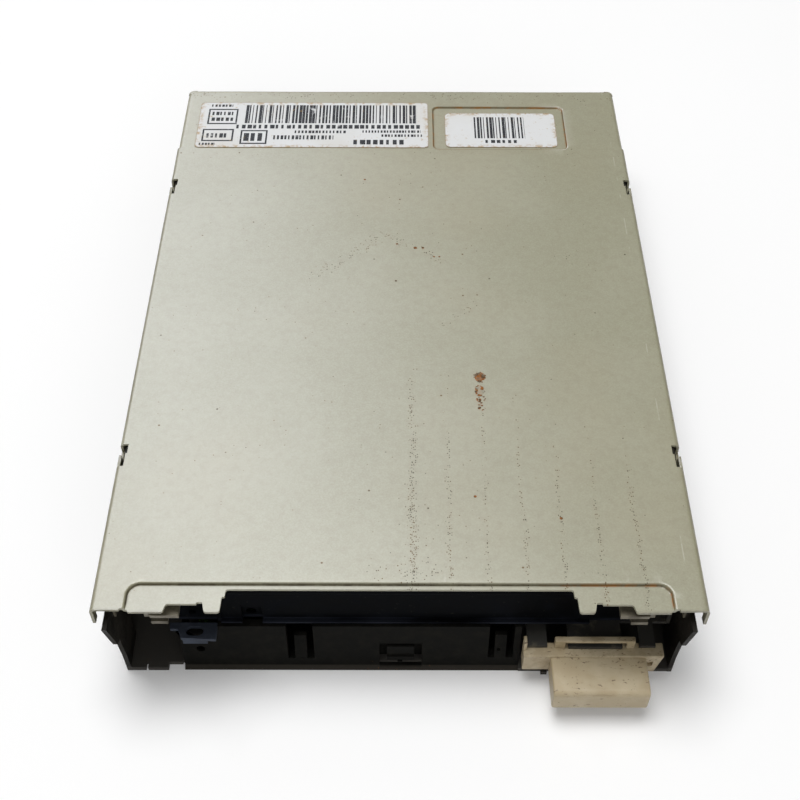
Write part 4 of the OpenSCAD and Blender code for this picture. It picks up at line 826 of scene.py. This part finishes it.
front = filleted([(-x, y, r) for x, y, r in reversed(FRONT_LINE)] + FRONT_LINE)
bpy.ops.object.select_all(action="DESELECT")
bpy.ops.mesh.primitive_circle_add(vertices=len(front), radius=0.05, fill_type="NGON")
trim = bpy.context.object
trim.data.vertices.foreach_set("co", np.array([(x, y, TRIM_FOOT) for x, y in front]).reshape(-1) * MM)
bpy.ops.object.mode_set(mode="EDIT")
bpy.ops.mesh.select_all(action="SELECT")
bpy.ops.mesh.extrude_region_move(TRANSFORM_OT_translate={"value": (0.0, 0.0, TRIM_HIGH * MM)})
bpy.ops.mesh.select_all(action="SELECT")
bpy.ops.mesh.normals_make_consistent(inside=False)
bpy.ops.object.mode_set(mode="OBJECT")
combine(lid, trim, "DIFFERENCE")
smooth(lid)

# Rust on the lid, by place: straight speck tracks with their widths, single spots with their radii,
# and ragged stains with their radii and how solid they are.
TRACKS = ((-19.6, 4.8, -2.6, 21.2, 2.0), (-3.1, 20.9, 8.6, 11.7, 1.6),
          (8.5, -5.6, 15.6, -0.3, 1.5), (33.2, 11.8, 37.0, 14.8, 1.0))
SPOTS = ((13.2, -47.9, 0.32), (27.9, -52.5, 0.34), (-7.9, 38.0, 0.3), (-0.9, 6.0, 0.28), (3.1, 15.9, 0.45),
         (4.7, 15.9, 0.35), (-0.7, 17.1, 0.3), (7.0, 13.2, 0.26), (8.1, 13.2, 0.26))
STAINS = ((15.1, -20.0, 1.2, 0.85), (14.9, -23.4, 1.1, 0.25), (15.15, -25.6, 0.9, 0.0),
          (15.0, -27.6, 0.8, 0.0))
LANE_PITCH = 3.2


def seeds(spot, size):
    """Scattered points about size apart: the distance to the nearest one and its own chance number."""
    feeds = {"Vector": spot, "Scale": 1.0 / size}
    lot = spot.add("SeparateColor", {0: spot.add("TexVoronoi", feeds, out=1)}, out=0)
    return spot.add("TexVoronoi", feeds, out=0), lot


def track(u_from, v_from, u_to, v_to, wide):
    """A mask along a straight line on the lid."""
    run = math.hypot(u_to - u_from, v_to - v_from)
    du, dv = (u_to - u_from) / run, (v_to - v_from) / run
    along = (x - u_from) * du + (y - v_from) * dv
    off = abs((x - u_from) * dv - (y - v_from) * du + cloud(mm, 7.0, 3.0) * 2.0 - 1.0)
    return ease(off, wide, 0.0) * ease(along, -1.0, 2.0) * ease(along, run + 1.0, run - 2.0)


def edge_rust_and_highlight(name):
    """A mask along a pressed edge of the lid, from its attribute: rust at the step and rim, painted
    highlight at the lip.
    """
    return mm.add("Attribute", {}, out=2, attribute_name=name)


lid_coat, mm = begin("lid_coat")
x, y = axis(mm, "X"), axis(mm, "Y")
fine = cloud(mm, 0.32, 3.0, 0.65)
skin = tint(ease(fine, 0.25, 0.75), tone("8a886e"), tone("98967d"))
skin = tint(ease(cloud(mm, 26.0, 4.0, 0.5), 0.35, 0.7) * 0.35, skin, tone("a3a18c"))
skin = tint(ease(cloud(mm, 40.0, 3.0), 0.45, 0.75) * 0.25, skin, tone("978c6c"))
skin = tint(ease(cloud(mm, 1.8, 6.0, 0.75), 0.42, 0.66) * 0.3, skin, tone("837d65"))

wander = cloud(mm, 9.0, 3.0) * 2.0
lane = mm.add("Math", {0: x + wander - LANE_PITCH, 1: LANE_PITCH}, operation="PINGPONG")
main_lane = ease(x, 6.0, 4.0)
lanes = ease(lane, 0.55 + 0.6 * main_lane, 0.05) * ease(x, -1.0, 0.4) * ease(x, 43.5, 42.0)
reach = ease(y, -14.0 - 0.35 * x, -60.0) * 0.62 + main_lane * ease(y, -15.0, -26.0) * 0.3
litter = ease(abs(x - 1.0), 9.0, 2.0) * ease(y, -57.0, -65.0) * ease(y, -65.9, -65.6)
crowd = lanes * reach
crowd = crowd | (litter * ease(cloud(mm, 2.2, 4.0), 0.4, 0.6) * 0.3)
crowd = crowd | (ease(y, 66.0, 68.5) * ease(cloud(mm, 3.0, 4.0), 0.45, 0.65) * 0.2)
for line in TRACKS:
    crowd = crowd | (track(*line) * 0.26)
speck, lot = seeds(mm, 0.32)
rust = ease(speck, 0.48, 0.26) * (lot + crowd > 1.0)
stray, lot = seeds(mm, 2.6)
rust = rust | (ease(stray, 0.1, 0.04) * (lot > 0.86))
dust, lot = seeds(mm, 1.15)
rust = rust | (ease(dust, 0.13, 0.05) * (lot > 0.74) * ease(cloud(mm, 18.0, 3.0), 0.34, 0.56))

blot = 0.0
for u_spot, v_spot, wide in SPOTS:
    gap = (x - u_spot) * (x - u_spot) + (y - v_spot) * (y - v_spot)
    blot = ease(gap, wide * wide, 0.4 * wide * wide) | blot
ragged = cloud(mm, 0.8, 5.0, 0.7) * 3.0 - 1.5
flecks = ease(seeds(mm, 0.55)[0], 0.62, 0.42)
for u_spot, v_spot, wide, solid in STAINS:
    off_u, off_v = (x - u_spot) * (1.0 / wide), (y - v_spot) * (0.8 / wide)
    stain = ease(off_u * off_u + off_v * off_v + ragged, 0.9, 0.7)
    blot = stain * (flecks | solid) | blot

step, rim = edge_rust_and_highlight("apron_edge"), edge_rust_and_highlight("field_edge")
rusty = ease(cloud(mm, 2.5, 6.0, 0.65), 0.38, 0.6)
brown = tint(ease(cloud(mm, 5.0, 3.0), 0.4, 0.6), tone("3d3122"), tone("60421d"))
skin = tint(rust * 0.85, skin, brown)
brown = tint(ease(cloud(mm, 0.7, 3.0), 0.4, 0.6), tone("8a4c04"), tone("472a06"))
skin = tint(blot * 0.92, skin, brown)
brown = tint(rusty * ease(x, 15.0, 44.0), tone("3a3122"), tone("8f5a1c"))
skin = tint(step * (0.7 + 0.3 * rusty), skin, brown)
brown = tint(rusty, tone("4a3a22"), tone("875a1e"))
skin = tint(rim * (0.6 + 0.4 * rusty), skin, brown)
# A painted highlight along the outer lip of the sunk field, on its right.
field_highlight = edge_rust_and_highlight("field_lip") * ease(x, 30.0, 36.6)
skin = tint(field_highlight * 0.75, skin, tone("eeeee4"))
# The side bends and the front edge are painted darker: partly grime, partly painted shade where the sheet
# turns away.
edge = ease(abs(x), 50.1, 50.6) | ease(abs(y), 70.2, 70.9)
skin = tint(edge * ease(cloud(mm, 4.0, 5.0), 0.25, 0.6) * 0.6, skin, tone("5e563f"))
# A pale line a little inside the right bend, in streaks: partly scratches, partly a painted highlight.
scratch_and_highlight = ease(abs(x - 48.2 + cloud(mm, 30.0, 2.0) * 0.6), 0.16, 0.04)
scratch_and_highlight = scratch_and_highlight * ease(cloud(mm, 6.0, 4.0, 0.6, (0.2, 1.0, 1.0)), 0.5, 0.6)
skin = tint(scratch_and_highlight * 0.35, skin, tone("c9c7b6"))
dress(lid_coat, {
    "Base Color": skin,
    "Roughness": 0.7,
    "Specular IOR Level": 0.05,
    "Coat Weight": 1.0 - 0.9 * (rust | blot | step | rim),
    "Coat Roughness": 0.36,
    "Coat IOR": 1.79,
    "Normal": relief(fine, 0.02, 0.3),
})
lid.data.materials.clear()
lid.data.materials.append(lid_coat)
seat(lid, "top_cover")


# The two labels: coated paper stuck to the lid, foxed along the edges and printed with a block of
# bars, empty ruled frames and rows of plain marks.
PAPER, PAPER_TOP = 0.085, 0.095
FRAME_SIDE, FRAME_END = 0.4, 0.45


def sticker(name, node, corner, print_coat):
    """A thin sheet with rounded corners that lies on the lid."""
    low, high = corners(node)
    across, along = 60, 24
    half_u, half_v = (high[0] - low[0]) / 2, (high[1] - low[1]) / 2
    u, v = np.meshgrid(np.linspace(-half_u, half_u, across + 1), np.linspace(-half_v, half_v, along + 1))
    out_u = np.maximum(np.abs(u) - half_u + corner, 0.0)
    out_v = np.maximum(np.abs(v) - half_v + corner, 0.0)
    pull = np.maximum(out_u, out_v) / np.maximum(np.hypot(out_u, out_v), 1e-9)
    turned = (out_u > 0) & (out_v > 0)
    u = np.where(turned, np.sign(u) * (half_u - corner + out_u * pull), u)
    v = np.where(turned, np.sign(v) * (half_v - corner + out_v * pull), v)
    bpy.ops.object.select_all(action="DESELECT")
    bpy.ops.mesh.primitive_grid_add(x_subdivisions=across, y_subdivisions=along, size=0.01)
    piece = bpy.context.object
    piece.name = piece.data.name = name
    places = [u + (low[0] + high[0]) / 2, v + (low[1] + high[1]) / 2, np.full_like(u, low[2] + PAPER_TOP)]
    piece.data.vertices.foreach_set("co", np.stack(places, -1).reshape(-1) * MM)
    inset = -rounded_box(u, v, half_u, half_v, corner)
    piece.data.attributes.new("inset", "FLOAT", "POINT").data.foreach_set("value", inset.reshape(-1))
    thicken(piece, PAPER)
    piece.data.materials.append(print_coat)
    seat(piece, node)


def within(value, low, high):
    """1 between two places and 0 outside them."""
    return (value > low) * (value < high)


def marks_row(x, y, u_low, u_high, v_low, v_high, pitch, least, most):
    """A row of upright marks of chance widths, one to a pitch."""
    share = (x - u_low) * (1.0 / pitch)
    count = x.add("Math", {0: share}, operation="FLOOR")
    chance = x.add("TexWhiteNoise", {"W": count + v_low}, out=0, noise_dimensions="1D")
    mark = share - count < chance * (most - least) + least
    return mark * within(x, u_low, u_high) * within(y, v_low, v_high)


def paper(name, bars, frames, rows):
    """White coated paper with a block of bars, ruled frames, rows of marks and foxing round the rim."""
    coat, mm = begin(name)
    x, y = axis(mm, "X"), axis(mm, "Y")
    inset = mm.add("Attribute", {}, out=2, attribute_name="inset")
    ink = marks_row(x, y, *bars, 0.22, 0.95)
    for u_low, u_high, v_low, v_high in frames:
        whole = within(x, u_low, u_high) * within(y, v_low, v_high)
        heart = within(x, u_low + FRAME_SIDE, u_high - FRAME_SIDE)
        heart = heart * within(y, v_low + FRAME_END, v_high - FRAME_END)
        ink = ink | (whole - heart)
    for row in rows:
        ink = ink | marks_row(x, y, *row, 0.4, 0.85)
    stain = cloud(mm, 1.3, 7.0, 0.7)
    fox = ease(stain, 0.46, 0.62) * ease(inset, 1.5, 0.1) | ease(stain, 0.6, 0.7) * ease(inset, 9.0, 0.5)
    fade_mask = ease(cloud(mm, 0.3, 3.0), 0.2, 0.4) * ease(cloud(mm, 3.0, 4.0), 0.25, 0.38)
    skin = tint(ease(cloud(mm, 14.0, 4.0), 0.4, 0.75) * 0.6, tone("d4d5d5"), tone("c9c6bd"))
    skin = tint(ink * fade_mask, skin, tone("0e1116"))
    skin = tint(fox * 0.75, skin, tone("a37f3a"))
    return dress(coat, {
        "Base Color": tint(ease(inset, 0.26, 0.0) * 0.75, skin, tone("7d6331")),
        "Roughness": 0.6,
        "Specular IOR Level": 0.35,
    })


# Print by place on the lid: left, right, front and rear, and for bars and rows also the pitch.
large_print = paper(
    "label_print",
    bars=(-36.2, 3.6, 58.0, 64.9, 0.78),
    frames=((-44.9, -38.0, 57.6, 63.4), (-45.6, -38.4, 51.3, 55.8), (-36.8, -30.6, 50.3, 55.4)),
    rows=((-44.0, -39.0, 61.0, 62.3, 0.9), (-44.0, -39.0, 58.8, 60.1, 1.1), (-44.4, -39.4, 64.2, 65.1, 0.8),
          (-44.6, -39.6, 52.6, 54.2, 1.0), (-46.0, -42.4, 49.9, 50.7, 0.7), (-36.0, -31.4, 51.4, 54.3, 1.6),
          (-29.2, -15.4, 52.0, 53.5, 0.85), (-24.4, -12.4, 54.3, 55.3, 0.8), (-8.8, 4.6, 54.5, 55.4, 0.7),
          (-4.4, 4.9, 53.0, 53.9, 0.75), (-10.8, 0.8, 50.2, 51.9, 1.5), (-38.0, 4.6, 56.0, 57.4, 1.3)),
)
sticker("drive_label", "label_large", 0.8, large_print)
small_print = paper(
    "field_print",
    bars=(17.0, 28.6, 53.0, 60.9, 0.72),
    frames=(),
    rows=((19.4, 26.6, 51.3, 52.4, 1.3),),
)
sticker("field_label", "label_small", 1.3, small_print)
